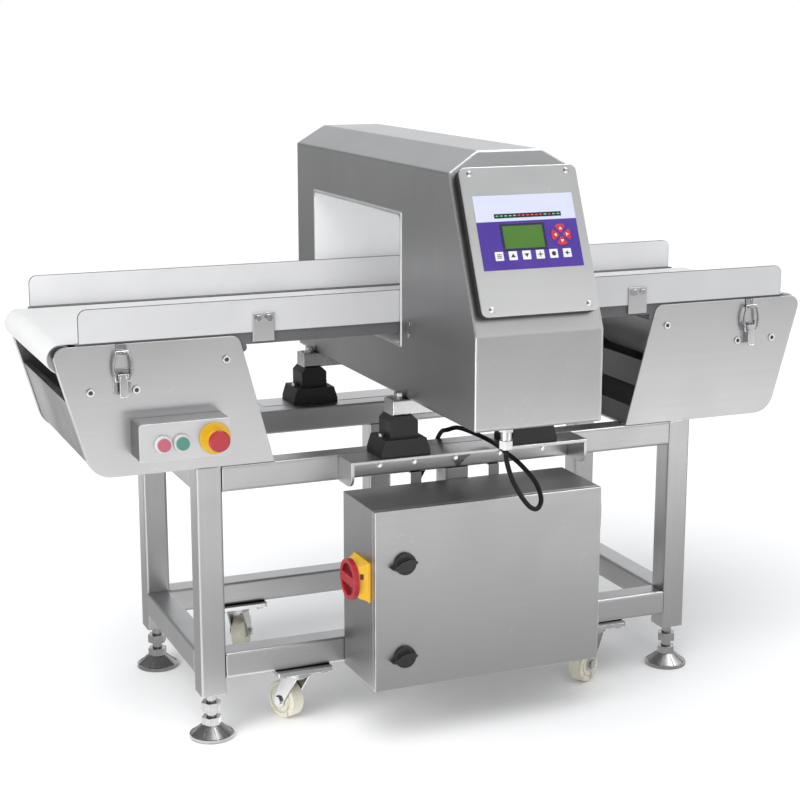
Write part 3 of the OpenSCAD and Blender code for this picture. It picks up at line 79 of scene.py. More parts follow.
# Signal cable.
# Black screened cable, as thick as a pencil, from the gland under the head through a loose loop,
# over the front rail and down behind it to the gland on the back of the cabinet.
CABLE_R = 0.0045
CABLE_ROUTE = [
    (-0.0475, -0.540, 0.613), (-0.0475, -0.540, 0.598), (-0.0458, -0.541, 0.581),
    (-0.038, -0.542, 0.555), (-0.025, -0.541, 0.529), (-0.009, -0.538, 0.506),
    (0.008, -0.532, 0.489), (0.025, -0.524, 0.4825), (0.038, -0.514, 0.491),
    (0.0415, -0.502, 0.506), (0.038, -0.488, 0.524), (0.028, -0.470, 0.542),
    (0.0225, -0.440, 0.554), (0.023, -0.400, 0.558), (0.033, -0.350, 0.557),
    (0.044, -0.300, 0.553), (0.047, -0.262, 0.552), (0.031, -0.240, 0.560),
    (0.002, -0.226, 0.571), (-0.012, -0.204, 0.563), (-0.014, -0.184, 0.556),
    (-0.015, -0.167, 0.540), (-0.022, -0.160, 0.515), (-0.042, -0.160, 0.478),
    (-0.066, -0.165, 0.438), (-0.080, -0.180, 0.402), (-0.080, -0.204, 0.390),
    (-0.080, -0.222, 0.390),
]
cable_points = [Vector((x, y + LINE_Y, z)) for x, y, z in CABLE_ROUTE]


def handles(points, i):
    """The two handles that make the curve pass smoothly through point i."""
    before = points[max(i - 1, 0)]
    after = points[min(i + 1, len(points) - 1)]
    third = (after - before) / 6
    return points[i] - third, points[i] + third


def round_line(name, points, radius, sides=6, steps=8):
    """A round wire or cable along a smooth curve through the points."""
    data = bpy.data.curves.new(name, "CURVE")
    data.dimensions = "3D"
    data.bevel_depth = 1.0  # each knot's radius sets the real thickness
    data.bevel_resolution = sides
    data.resolution_u = steps
    data.use_fill_caps = True
    spline = data.splines.new("BEZIER")
    spline.bezier_points.add(len(points) - 1)
    for i, point in enumerate(points):
        knot = spline.bezier_points[i]
        knot.co, knot.radius = point, radius
        knot.handle_left, knot.handle_right = handles(points, i)
    return add_object(name, data)


cable = round_line("screened_cable", cable_points, CABLE_R)
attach(cable, "stand")
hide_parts("signal_cable")

# Studio.
# A pale floor that runs out of view, a broad high lamp and a small lamp at the left. Only polished
# metal sees the rest: a large card on the floor, a soft box in front and a grey sky with glows.
FLOOR_HALF, FLOOR_ROUGH, FLOOR_SHEEN = 40.0, 0.9, 0.1
FLOOR_COLOUR, WHITE = (0.97, 0.97, 0.97, 1.0), (1.0, 1.0, 1.0, 1.0)
CARD_HALF, CARD_Z, CARD_PEAK = 9.0, 0.0012, 2.9
CARD_TONES = [(-9.0, 0.25), (-4.2, 0.22), (-3.1, 0.34), (-2.3, 2.9), (-1.6, 1.5), (-0.9, 0.76),
              (-0.35, 0.6), (0.4, 0.6), (1.0, 0.6), (1.7, 1.0), (2.5, 1.4), (3.3, 0.35),
              (4.2, 0.14), (9.0, 0.16)]
WEDGE_TOWARD, WEDGE_GAIN = (-0.95, -0.3, 0.0), 3.0
WEDGE_RAMP = (0.9, 0.98, CARD_PEAK, CARD_PEAK * WEDGE_GAIN)


def stage_plane(name, corners):
    """A staged face through these corners, and the node tree of its material."""
    mesh = bpy.data.meshes.new(name)
    mesh.from_pydata(corners, [], [(0, 1, 2, 3)])
    plane = add_object(name, mesh)
    material = bpy.data.materials.new(name)
    material.use_nodes = True
    mesh.materials.append(material)
    return plane, material.node_tree


def level_square(half, z):
    """The corners of a level square round the middle."""
    return [(-half, -half, z), (half, -half, z), (half, half, z), (-half, half, z)]


def put(tree, kind, links=(), **values):
    """A node with its inputs linked or set; a leading underscore marks an attribute of the node."""
    node = tree.nodes.new(kind)
    for key, value in values.items():
        if key.startswith("_"):
            setattr(node, key[1:], value)
    for key, value in values.items():
        if not key.startswith("_"):
            node.inputs[key.replace("__", " ")].default_value = value
    for key, source in links:
        tree.links.new(source, node.inputs[key])
    return node


def ramp(tree, value, low, high, to_low=0.0, to_high=1.0, kind="LINEAR"):
    """The value's range from low to high, laid over the range from to_low to to_high."""
    node = put(tree, "ShaderNodeMapRange", [("Value", value)], _interpolation_type=kind,
               From__Min=low, From__Max=high, To__Min=to_low, To__Max=to_high)
    return node.outputs[0]


def soft_ramp(tree, value, limits):
    """A ramp that begins and ends smoothly."""
    return ramp(tree, value, *limits, kind="SMOOTHSTEP")


def reach_along(tree, place, direction):
    """How far a place lies along the direction."""
    node = put(tree, "ShaderNodeVectorMath", [(0, place)], _operation="DOT_PRODUCT")
    node.inputs[1].default_value = direction
    return node.outputs["Value"]


def grey_ramp(tree, value, tones, peak=1.0):
    """Greys at their places between 0 and 1, as shares of the peak."""
    node = put(tree, "ShaderNodeValToRGB", [("Fac", value)])
    elements = node.color_ramp.elements
    while len(elements) < len(tones):
        elements.new(0.5)
    for element, (place, tone) in zip(elements, tones):
        element.position = place
        element.color = (tone / peak, tone / peak, tone / peak, 1.0)
    return node.outputs["Color"]


def calculate(tree, operation, first, second):
    """The result of a math node on an output and another output or a plain number."""
    node = put(tree, "ShaderNodeMath", [(0, first)], _operation=operation)
    if isinstance(second, float):
        node.inputs[1].default_value = second
    else:
        tree.links.new(second, node.inputs[1])
    return node.outputs[0]


def only_mirrored(plane, tree, glow):
    """Makes a staged plane glow, seen by polished metal alone."""
    tree.links.new(glow.outputs[0], tree.nodes["Material Output"].inputs["Surface"])
    for sense in ("camera", "diffuse", "transmission", "volume_scatter", "shadow"):
        setattr(plane, "visible_" + sense, False)


tree = stage_plane("pale studio floor", level_square(FLOOR_HALF, 0.0))[1]
floor_shader = tree.nodes["Principled BSDF"]
floor_shader.inputs["Base Color"].default_value = FLOOR_COLOUR
floor_shader.inputs["Roughness"].default_value = FLOOR_ROUGH
floor_shader.inputs["Specular IOR Level"].default_value = FLOOR_SHEEN

card, tree = stage_plane("reflecting card", level_square(CARD_HALF, CARD_Z))
place = put(tree, "ShaderNodeTexCoord").outputs["Object"]
split = put(tree, "ShaderNodeSeparateXYZ", [("Vector", place)])
share = ramp(tree, split.outputs["Y"], -CARD_HALF, CARD_HALF)
card_shares = [((y + CARD_HALF) / (2 * CARD_HALF), tone) for y, tone in CARD_TONES]
tones = grey_ramp(tree, share, card_shares, CARD_PEAK)
bearing = put(tree, "ShaderNodeVectorMath", [(0, place)], _operation="NORMALIZE").outputs[0]
wedge = soft_ramp(tree, reach_along(tree, bearing, WEDGE_TOWARD), WEDGE_RAMP)
only_mirrored(card, tree, put(tree, "ShaderNodeEmission", [("Color", tones), ("Strength", wedge)]))

BOX_Y, BOX_LOW, BOX_HIGH, BOX_LEFT, BOX_RIGHT = LINE_Y - 1.25, 1.02, 1.43, -0.25, 0.95
BOX_GLOW = 1.3
soft_box, tree = stage_plane("soft box", [
    (BOX_LEFT, BOX_Y, BOX_LOW), (BOX_RIGHT, BOX_Y, BOX_LOW),
    (BOX_RIGHT, BOX_Y, BOX_HIGH), (BOX_LEFT, BOX_Y, BOX_HIGH)])
only_mirrored(soft_box, tree, put(tree, "ShaderNodeEmission", Color=WHITE, Strength=BOX_GLOW))

# Each glow of the sky has a direction or a height, and the ramp that it follows.
SIDE_TOWARD, SIDE_RAMP = (1.0, 0.0, 0.3), (-0.55, 0.45, 0.2, 0.94)
STRIP_TOWARD, STRIP_RAMP = (0.36, -0.08, 0.93), (0.93, 0.985, 0.0, 7.0)
SHADE_RAMP = (-0.3, -0.7, 1.0, 0.66)
FRONT_TONES = [(0.03, 0.05), (0.09, 0.7), (0.17, 0.7), (0.27, 0.05), (0.6, 0.0)]
BACK_TONES = [(0.01, 0.0), (0.05, 0.3), (0.11, 0.3), (0.18, 0.0)]
FRONT_RAMP, BACK_RAMP = (-0.2, -0.75), (0.4, 0.8)
DAYLIGHT, DAYLIGHT_GLOW, MIRRORED = (0.97, 0.98, 1.0, 1.0), 0.75, (0.98, 0.99, 1.0, 1.0)

world = bpy.data.worlds.new("studio sky")
scene.world = world
world.use_nodes = True
sky = world.node_tree
backing = sky.nodes["Background"]
backing.inputs["Color"].default_value = WHITE
seen = put(sky, "ShaderNodeTexCoord").outputs["Generated"]
split = put(sky, "ShaderNodeSeparateXYZ", [("Vector", seen)])
glow = calculate(sky, "MULTIPLY", soft_ramp(sky, reach_along(sky, seen, SIDE_TOWARD), SIDE_RAMP),
                 soft_ramp(sky, split.outputs["Y"], SHADE_RAMP))
glow = calculate(sky, "ADD", glow, soft_ramp(sky, reach_along(sky, seen, STRIP_TOWARD), STRIP_RAMP))
for band_tones, band_ramp in ((FRONT_TONES, FRONT_RAMP), (BACK_TONES, BACK_RAMP)):
    band = calculate(sky, "MULTIPLY", grey_ramp(sky, split.outputs["Z"], band_tones),
                     soft_ramp(sky, split.outputs["Y"], band_ramp))
    glow = calculate(sky, "ADD", glow, band)
plain_sky = put(sky, "ShaderNodeBackground", Color=DAYLIGHT, Strength=DAYLIGHT_GLOW)
mirrored_sky = put(sky, "ShaderNodeBackground", [("Strength", glow)], Color=MIRRORED)
rays = put(sky, "ShaderNodeLightPath")
lit = put(sky, "ShaderNodeMixShader",
          [(0, rays.outputs["Is Glossy Ray"]), (1, plain_sky.outputs[0]),
           (2, mirrored_sky.outputs[0])])
both = put(sky, "ShaderNodeMixShader",
           [(0, rays.outputs["Is Camera Ray"]), (1, lit.outputs[0]), (2, backing.outputs[0])])
sky.links.new(both.outputs[0], sky.nodes["World Output"].inputs["Surface"])
scene.view_settings.view_transform = "Standard"

SUN_POWER, SUN_SPREAD, SUN_AIM = 1.5, math.radians(50), Vector((0.42, 0.5, -1.0))
LAMP_POWER, LAMP_WIDTH, LAMP_HEIGHT = 24, 1.2, 1.0
LAMP_PLACE, LAMP_TARGET = Vector((-2.6, LINE_Y - 1.3, 1.4)), Vector((0.0, LINE_Y + 0.15, 0.85))


def add_lamp(name, kind, power, aim):
    """A lamp that shines along aim and isn't seen by polished metal."""
    lamp = add_object(name, bpy.data.lights.new(name, kind))
    lamp.data.energy = power
    lamp.rotation_euler = aim.to_track_quat("-Z", "Y").to_euler()
    lamp.visible_glossy = False
    return lamp


add_lamp("high_lamp", "SUN", SUN_POWER, SUN_AIM).data.angle = SUN_SPREAD
side_lamp = add_lamp("side_lamp", "AREA", LAMP_POWER, LAMP_TARGET - LAMP_PLACE)
side_lamp.location = LAMP_PLACE
side_lamp.data.shape = "RECTANGLE"
side_lamp.data.size, side_lamp.data.size_y = LAMP_WIDTH, LAMP_HEIGHT

# Tube frame.
# Legs and rails are square stainless tube, ground flush at their welds and brushed along their
# length; the metal is a little uneven in gloss, its edges are lightened for wear and as a painted
# highlight, and its corners carry painted shade.
VECTOR, FLOAT = "NodeSocketVector", "NodeSocketFloat"
ALONG_X, ALONG_Y, ALONG_Z = (5.0, 900.0, 900.0), (900.0, 5.0, 900.0), (900.0, 900.0, 5.0)
COARSE_SPECKS, FINE_SPECKS = (60.0, 60.0, 60.0), (90.0, 90.0, 90.0)
BROAD_GRAIN, EVEN_MIX = 0.12, 0.5
CLOUDS, EDGES = (0.32, 0.7), (0.995, 0.82)
HAIR_STRETCH, HAIR_SLANTS = (0.4, 22.0, 22.0), ((0.3, 0.5, 0.2), (-0.6, 0.2, 1.1))
HAIRS, HAIR_PATCH, HAIR_PATCHES, SCRATCH_GAIN = (0.76, 0.84), 7.0, (0.45, 0.65), 1.18
CORNER_SHADE, SHADE_SHARE = (0.75, 0.3), 0.35


def shader_group(name, inputs, outputs):
    """An empty node group with the named sockets, its inputs given as (name, kind, value)."""
    group = bpy.data.node_groups.new(name, "ShaderNodeTree")
    for socket, kind, value in inputs:
        made = group.interface.new_socket(socket, in_out="INPUT", socket_type=kind)
        if value is not None:
            made.default_value = value
    for socket, kind in outputs:
        group.interface.new_socket(socket, in_out="OUTPUT", socket_type=kind)
    return group, group.nodes.new("NodeGroupInput"), group.nodes.new("NodeGroupOutput")


def noise(tree, place, scale, detail):
    """Soft noise over the place."""
    node = put(tree, "ShaderNodeTexNoise", [("Vector", place)], Scale=scale, Detail=detail)
    return node.outputs[0]


brushed, enter, leave = shader_group(
    "brushed grain", [("Place", VECTOR, None), ("Stretch", VECTOR, ALONG_X)],
    [("Tone", FLOAT), ("Height", FLOAT)])
drawn = put(brushed, "ShaderNodeVectorMath",
            [(0, enter.outputs["Place"]), (1, enter.outputs["Stretch"])], _operation="MULTIPLY")
fine = noise(brushed, drawn.outputs[0], 1.0, 3.0)
broad = noise(brushed, drawn.outputs[0], BROAD_GRAIN, 2.0)
tone = put(brushed, "ShaderNodeMix", [(2, fine), (3, broad)], _data_type="FLOAT")
tone.inputs[0].default_value = EVEN_MIX
brushed.links.new(tone.outputs[0], leave.inputs["Tone"])
brushed.links.new(fine, leave.inputs["Height"])

handled, enter, leave = shader_group(
    "handled surface", [("Place", VECTOR, None), ("Scale", FLOAT, 4.0)], [("Smear", FLOAT)])
clouds = put(handled, "ShaderNodeTexNoise",
             [("Vector", enter.outputs["Place"]), ("Scale", enter.outputs["Scale"])],
             Detail=4.0, Roughness=0.55, Distortion=0.6)
handled.links.new(ramp(handled, clouds.outputs[0], *CLOUDS), leave.inputs["Smear"])

rounded, enter, leave = shader_group(
    "rounded edge", [("Radius", FLOAT, 0.0015)], [("Edge", FLOAT), ("Normal", VECTOR)])
soft_normal = put(rounded, "ShaderNodeBevel", [("Radius", enter.outputs["Radius"])], _samples=6)
plain = put(rounded, "ShaderNodeNewGeometry")
turn = put(rounded, "ShaderNodeVectorMath",
           [(0, soft_normal.outputs[0]), (1, plain.outputs["Normal"])], _operation="DOT_PRODUCT")
rounded.links.new(ramp(rounded, turn.outputs["Value"], *EDGES), leave.inputs["Edge"])
rounded.links.new(soft_normal.outputs[0], leave.inputs["Normal"])

scratched, enter, leave = shader_group(
    "stray scratches", [("Place", VECTOR, None), ("Scale", FLOAT, 30.0)], [("Scratch", FLOAT)])
hairs = []
for slant in HAIR_SLANTS:
    leaned = put(scratched, "ShaderNodeVectorRotate", [("Vector", enter.outputs["Place"])],
                 _rotation_type="EULER_XYZ", Rotation=slant)
    drawn = put(scratched, "ShaderNodeVectorMath", [(0, leaned.outputs[0])], _operation="MULTIPLY")
    drawn.inputs[1].default_value = HAIR_STRETCH
    hair = put(scratched, "ShaderNodeTexNoise",
               [("Vector", drawn.outputs[0]), ("Scale", enter.outputs["Scale"])], Detail=0.0)
    hairs.append(ramp(scratched, hair.outputs[0], *HAIRS))
few = ramp(scratched, noise(scratched, enter.outputs["Place"], HAIR_PATCH, 1.0), *HAIR_PATCHES)
crossed = calculate(scratched, "MAXIMUM", *hairs)
scratched.links.new(calculate(scratched, "MULTIPLY", crossed, few), leave.inputs["Scratch"])

# Painted shade: an ambient occlusion mask that darkens the colour in corners and crevices.
painted, enter, leave = shader_group("settled grime", [("Reach", FLOAT, 0.004)], [("Shade", FLOAT)])
shut_in = put(painted, "ShaderNodeAmbientOcclusion", [("Distance", enter.outputs["Reach"])],
              _samples=6)
painted.links.new(ramp(painted, shut_in.outputs["AO"], *CORNER_SHADE), leave.inputs["Shade"])


def group_node(tree, group, links=(), **values):
    """The group as a node, with its inputs linked or set."""
    node = put(tree, "ShaderNodeGroup", _node_tree=group)
    for key, value in values.items():
        node.inputs[key].default_value = value
    for key, source in links:
        tree.links.new(source, node.inputs[key])
    return node


def new_material(name):
    """A material with its node tree, its shader and the place on the object."""
    material = bpy.data.materials.new(name)
    material.use_nodes = True
    tree = material.node_tree
    place = put(tree, "ShaderNodeTexCoord").outputs["Object"]
    return material, tree, tree.nodes["Principled BSDF"], place


def colour_between(tree, factor, low, high):
    """A mix of two colours, each plain or linked."""
    node = put(tree, "ShaderNodeMix", [(0, factor)], _data_type="RGBA")
    for socket, colour in ((6, low), (7, high)):
        if isinstance(colour, (tuple, list)):
            node.inputs[socket].default_value = (*colour[:3], 1.0)
        else:
            tree.links.new(colour, node.inputs[socket])
    return node.outputs[2]


def smears(tree, place, scale):
    """Soft clouds, as hands and wiping leave them."""
    return group_node(tree, handled, [("Place", place)], Scale=scale).outputs["Smear"]


def soft_edges(tree, radius):
    """How near a place lies to an edge, and the normal that rounds the edge."""
    node = group_node(tree, rounded, Radius=radius)
    return node.outputs["Edge"], node.outputs["Normal"]


def finish(tree, shader, colour, smear, gloss, height, bump, normal=None, depth=0.0005):
    """Gives the shader its colour, a roughness that the smears vary and a fine relief."""
    relief = put(tree, "ShaderNodeBump", [("Height", height)], Strength=bump, Distance=depth)
    if normal is not None:
        tree.links.new(normal, relief.inputs["Normal"])
    tree.links.new(colour, shader.inputs["Base Color"])
    tree.links.new(ramp(tree, smear, 0.0, 1.0, *gloss), shader.inputs["Roughness"])
    tree.links.new(relief.outputs[0], shader.inputs["Normal"])


def brushed_metal(name, dark, light, stretch, rough=(0.3, 0.4), edge_radius=0.0012, bump=0.05,
                  wear_and_highlight=1.45):
    """Brushed metal: grain in tone and height, smears, scratches, edges lightened for wear and as a
    painted highlight, painted shade in corners.
    """
    material, tree, shader, place = new_material(name)
    grain = group_node(tree, brushed, [("Place", place)], Stretch=stretch)
    scuffs = group_node(tree, scratched, [("Place", place)], Scale=26.0)
    crevice_shade = group_node(tree, painted)
    edge, normal = soft_edges(tree, edge_radius)
    body = colour_between(tree, grain.outputs["Tone"], dark, light)
    marked = colour_between(tree, scuffs.outputs["Scratch"], body,
                            [c * SCRATCH_GAIN for c in light])
    # Edges are lightened, partly for wear and partly as a painted highlight.
    lighter_edges = colour_between(tree, edge, marked, [min(1.0, c * wear_and_highlight) for c in light])
    # Corners and crevices are painted darker, as shade.
    corner_shaded = colour_between(tree, crevice_shade.outputs["Shade"], lighter_edges, [c * SHADE_SHARE for c in dark])
    shader.inputs["Metallic"].default_value = 1.0
    finish(tree, shader, corner_shaded, smears(tree, place, 5.0), rough, grain.outputs["Height"], bump,
           normal)
    return material


def dress(material, *names):
    """Gives the CAD nodes of these names the material."""
    for name in names:
        mesh = nodes[name].data
        mesh.materials.clear()
        mesh.materials.append(material)


TUBE_EDGE = 0.0035
dress(brushed_metal("satin stainless tube upright", (0.4, 0.4, 0.405), (0.48, 0.48, 0.485), ALONG_Z,
                    edge_radius=TUBE_EDGE), "stand_legs")
dress(brushed_metal("satin stainless tube level", (0.42, 0.42, 0.425), (0.5, 0.5, 0.505), ALONG_X,
                    edge_radius=TUBE_EDGE), "stand_rails")

# Mount shelves and head bars.
# Folded sheet brackets on the long rails carry the rubber mounts; two flat bars of the same steel
# tie the mounts together under the search head. Small hexagon heads sit along the front shelf.
dress(brushed_metal("satin stainless sheet", (0.5, 0.5, 0.505), (0.58, 0.58, 0.585), ALONG_X,
                    edge_radius=0.002), "mount_shelves")
dress(brushed_metal("drawn bar steel", (0.5, 0.5, 0.505), (0.7, 0.7, 0.705), ALONG_X,
                    rough=(0.2, 0.34), edge_radius=0.0025), "head_bars")

SHELF_BOLT_XS = (-0.193, -0.122, -0.036, 0.058, 0.15)
SHELF_FRONT, SHELF_BOLT_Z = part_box("mount_shelves")[0].y, 0.5315
BOLT_FLATS, BOLT_HEIGHT = 0.0075, 0.0028
# Each ring of a head: its radius as a share of the flats, its height as a share, its corners.
BOLT_RING_SHARES = ((0.68, 0.0, 24), (0.68, 0.14, 24), (0.5774, 0.14, 6), (0.5774, 0.85, 6),
                    (0.48, 1.0, 6))
HEX_TURN = math.radians(15)


def wall(shapes, low, high):
    """Faces between two rings of corners."""
    for i in range(len(low)):
        k = (i + 1) % len(low)
        shapes.faces.new((low[i], low[k], high[k], high[i]))


def add_piece(name, shapes, material):
    """The finished shapes as a piece that rides on the stand."""
    bmesh.ops.recalc_face_normals(shapes, faces=shapes.faces)
    mesh = bpy.data.meshes.new(name)
    shapes.to_mesh(mesh)
    shapes.free()
    mesh.materials.append(material)
    piece = add_object(name, mesh)
    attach(piece, "stand")
    return piece


fixing_steel = brushed_metal("bright fixing", (0.6, 0.6, 0.61), (0.8, 0.8, 0.81), COARSE_SPECKS,
                             rough=(0.2, 0.32), edge_radius=0.0006, bump=0.02)
heads = bmesh.new()
for x in SHELF_BOLT_XS:
    rings = []
    for reach, off, corners in BOLT_RING_SHARES:
        ring = []
        for i in range(corners):
            a = 2 * math.pi * i / corners + (HEX_TURN if corners == 6 else 0.0)
            ring.append(heads.verts.new((x - math.cos(a) * BOLT_FLATS * reach,
                                         SHELF_FRONT - BOLT_HEIGHT * off,
                                         SHELF_BOLT_Z + math.sin(a) * BOLT_FLATS * reach)))
        rings.append(ring)
    for low, high in ((0, 1), (2, 3), (3, 4)):
        wall(heads, rings[low], rings[high])
    for number in (0, 1, 2, 4):
        heads.faces.new(rings[number])
add_piece("shelf_bolts", heads, fixing_steel)

# Levelling feet.
# Pressed and zinc plated feet with ribs, slightly pitted, stand under a threaded stem that carries
# two bright nuts.
CORNERS = ("front_left", "front_right", "rear_left", "rear_right")
FOOT_CONE_TOP = 0.0265
pressed_zinc = brushed_metal("pitted zinc plate", (0.18, 0.18, 0.18), (0.5, 0.5, 0.5),
                             FINE_SPECKS, rough=(0.22, 0.4), edge_radius=0.0006, bump=0.3)
nut_zinc = brushed_metal("bright zinc nuts", (0.3, 0.3, 0.3), (0.52, 0.52, 0.53),
                         (120.0, 120.0, 120.0), rough=(0.12, 0.26), edge_radius=0.0008)


def second_finish(name, material, test):
    """Gives the faces of a CAD node that pass the test a second material."""
    mesh = nodes[name].data
    mesh.materials.append(material)
    number = len(mesh.materials) - 1
    for face in mesh.polygons:
        if test(face):
            face.material_index = number


for corner in CORNERS:
    dress(pressed_zinc, "foot_" + corner)
    second_finish("foot_" + corner, nut_zinc, lambda face: face.center.z > FOOT_CONE_TOP)

# Casters.
# Pressed steel forks, bright zinc plated, turn on a ball race under a bolted plate; the wheels are
# cream nylon with darker rubbed bands on their treads.
zinc_plate = brushed_metal("bright zinc plate", (0.42, 0.42, 0.43), (0.62, 0.62, 0.63),
                           (40.0, 40.0, 40.0), rough=(0.12, 0.26), edge_radius=0.0006, bump=0.03)
dress(zinc_plate, "caster_plates")

TREAD_STRETCH, TREAD_STAINS = (14.0, 90.0, 14.0), (0.56, 0.72)
cream_nylon, tree, shader, place = new_material("cream nylon")
smear = smears(tree, place, 16.0)
edge, normal = soft_edges(tree, 0.0015)
rubbed = put(tree, "ShaderNodeMapping", [("Vector", place)], Scale=TREAD_STRETCH)
streaks = noise(tree, rubbed.outputs[0], 1.0, 4.0)
clean = colour_between(tree, smear, (0.62, 0.6, 0.47), (0.76, 0.75, 0.62))
stain = colour_between(tree, ramp(tree, streaks, *TREAD_STAINS), clean, (0.42, 0.24, 0.16))
lighter_edges = colour_between(tree, edge, stain, (0.84, 0.82, 0.72))
finish(tree, shader, lighter_edges, smear, gloss=(0.18, 0.36), height=streaks, bump=0.08, normal=normal,
       depth=0.0004)
for corner in CORNERS:
    dress(zinc_plate, "fork_" + corner)
    dress(cream_nylon, "wheel_" + corner)

# Rubber mounts.
# Moulded black rubber blocks on a wide foot take up shocks between stand and head; their bolts and
# washers are bright zinc.
MOUNT_X, MOUNT_BLOCK_HALF, MOUNT_BASE_TOP = 0.136, 0.028, 0.575
MOUNT_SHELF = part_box("mount_shelves")[1].z
MOUNT_RISE, MOUNT_ASIDE = 0.0005, 0.0003
CABLE_SHEEN = 0.25
GLOSS_SHARES = (0.88, 1.12)


def plastic(name, colour, rough=0.45, edge_radius=0.001, bump=0.03, pimples=900.0, shade=0.9,
            rub=0.08):
    """Moulded plastic or rubber: fine skin, uneven tone and gloss, softened and rubbed edges."""
    material, tree, shader, place = new_material(name)
    smear = smears(tree, place, 9.0)
    edge, normal = soft_edges(tree, edge_radius)
    body = colour_between(tree, smear, [c * shade for c in colour], colour)
    rubbed = colour_between(tree, edge, body, [c + (1.0 - c) * rub for c in colour])
    finish(tree, shader, rubbed, smear, [rough * share for share in GLOSS_SHARES],
           noise(tree, place, pimples, 2.0), bump, normal)
    return material


black_rubber = plastic("black rubber", (0.014, 0.014, 0.015), rough=0.55, bump=0.12, pimples=500.0,
                       rub=0.03)
cable_jacket = plastic("cable jacket", (0.006, 0.006, 0.0065), rough=0.6, edge_radius=0.0002,
                       bump=0.08, rub=0.0)
cable_shader = cable_jacket.node_tree.nodes["Principled BSDF"]
cable_shader.inputs["Specular IOR Level"].default_value = CABLE_SHEEN
cable.data.materials.append(cable_jacket)
bright_bolt = brushed_metal("bright bolt", (0.55, 0.55, 0.56), (0.78, 0.78, 0.79), COARSE_SPECKS,
                            rough=(0.12, 0.28), edge_radius=0.0008, bump=0.02)
dress(black_rubber, "rubber_mounts")


def is_mount_bolt(face):
    """Whether a face lies under the shelf, or above the base and beside the block."""
    above = face.center.z > MOUNT_BASE_TOP + MOUNT_RISE
    aside = abs(abs(face.center.x) - MOUNT_X) > MOUNT_BLOCK_HALF + MOUNT_ASIDE
    return face.center.z < MOUNT_SHELF - MOUNT_RISE or (above and aside)


second_finish("rubber_mounts", bright_bolt, is_mount_bolt)

# Search head.
# Folded stainless case with a satin face, open through the tunnel, which is lined with white
# plastic; small dome bolts hold it at the sides.
case_steel = brushed_metal("satin case steel", (0.41, 0.41, 0.415), (0.46, 0.46, 0.465), ALONG_Y,
                           rough=(0.29, 0.36), edge_radius=0.006, bump=0.03, wear_and_highlight=1.9)
# Painted shade: the head's left and right faces get a darker copy of the case steel.
case_side_shaded = brushed_metal("satin case side", (0.32, 0.32, 0.323), (0.36, 0.36, 0.363), ALONG_Z,
                          rough=(0.4, 0.48), edge_radius=0.006, bump=0.03, wear_and_highlight=2.8)
FACING = 0.9


def looks_aside(face):
    """Whether a face looks left or right."""
    return abs(face.normal.x) > FACING


dress(case_steel, "head_shell")
second_finish("head_shell", case_side_shaded, looks_aside)
dress(plastic("white liner plastic", (0.93, 0.93, 0.935), rough=0.4, shade=0.96), "tunnel_liner")
second_finish("tunnel_liner", case_steel, looks_aside)
dress(plastic("taped copper", (0.5, 0.22, 0.08), rough=0.5), "search_coils")
dress(bright_bolt, "head_screws")

# Console.
# A shallow steel lid on a black rubber gasket carries the printed label sheet with its keys, the
# display behind its window and the row of signal lamps; a board stands behind the lid.
dress(brushed_metal("satin lid steel", (0.51, 0.51, 0.51), (0.57, 0.57, 0.57), ALONG_X,
                    rough=(0.34, 0.42), edge_radius=0.0018, bump=0.02), "console_lid")
dress(black_rubber, "console_gasket")
dress(plastic("circuit board green", (0.02, 0.12, 0.06), rough=0.5), "signal_board")

# The slope runs from the fold in the head's front up to the front edge of its top.
HEAD_FRONT, HEAD_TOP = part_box("head_shell")[0].y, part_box("head_shell")[1].z
FOLD_Z, TOP_SET_BACK = 0.818, 0.135
SLOPE_FOOT = Vector((0.0, HEAD_FRONT, FOLD_Z))
SLOPE_ANGLE = math.atan2(TOP_SET_BACK, HEAD_TOP - FOLD_Z)
SLOPE_UP = Vector((0.0, math.sin(SLOPE_ANGLE), math.cos(SLOPE_ANGLE)))
SLOPE_OUT = Vector((0.0, -math.cos(SLOPE_ANGLE), math.sin(SLOPE_ANGLE)))
LID_TOP, RIM_HIGHLIGHT_BAND, PRINT_BLUR, WALL_LEAN = 0.02, 0.0022, 0.0002, 0.2


def past(tree, place, direction, limit):
    """1 where a place lies farther than the limit from the slope's foot along the direction."""
    edge = SLOPE_FOOT.dot(direction) + limit
    return ramp(tree, reach_along(tree, place, direction), edge - PRINT_BLUR, edge + PRINT_BLUR)


# The lid's side walls are coloured near black, and a thin band at their outer rim is painted bright
# metal as a highlight.
lid_wall, tree, shader, place = new_material("rubber edging with steel rim")
rim = past(tree, place, SLOPE_OUT, LID_TOP - RIM_HIGHLIGHT_BAND)
smear = smears(tree, place, 12.0)
edge, normal = soft_edges(tree, 0.0012)
rubber = colour_between(tree, smear, (0.012, 0.012, 0.013), (0.02, 0.02, 0.021))
rim_highlight = colour_between(tree, rim, rubber, (0.78, 0.78, 0.78))
tree.links.new(rim, shader.inputs["Metallic"])
finish(tree, shader, rim_highlight, smear, gloss=(0.4, 0.5), height=noise(tree, place, 500.0, 2.0),
       bump=0.06, normal=normal, depth=0.0004)
second_finish("console_lid", lid_wall, lambda face: abs(face.normal.dot(SLOPE_OUT)) < WALL_LEAN)

LABEL_TOP, BAND_S = 0.0208, 0.1995
label_sheet, tree, shader, place = new_material("printed label sheet")
smear = smears(tree, place, 14.0)
violet = colour_between(tree, smear, (0.052, 0.022, 0.25), (0.062, 0.028, 0.285))
printed = colour_between(tree, past(tree, place, SLOPE_UP, BAND_S), violet, (0.6, 0.62, 0.78))
edge, normal = soft_edges(tree, 0.0006)
finish(tree, shader, printed, smear, gloss=(0.28, 0.4), height=noise(tree, place, 1800.0, 1.0),
       bump=0.04, normal=normal, depth=0.0003)
dress(label_sheet, "control_panel")

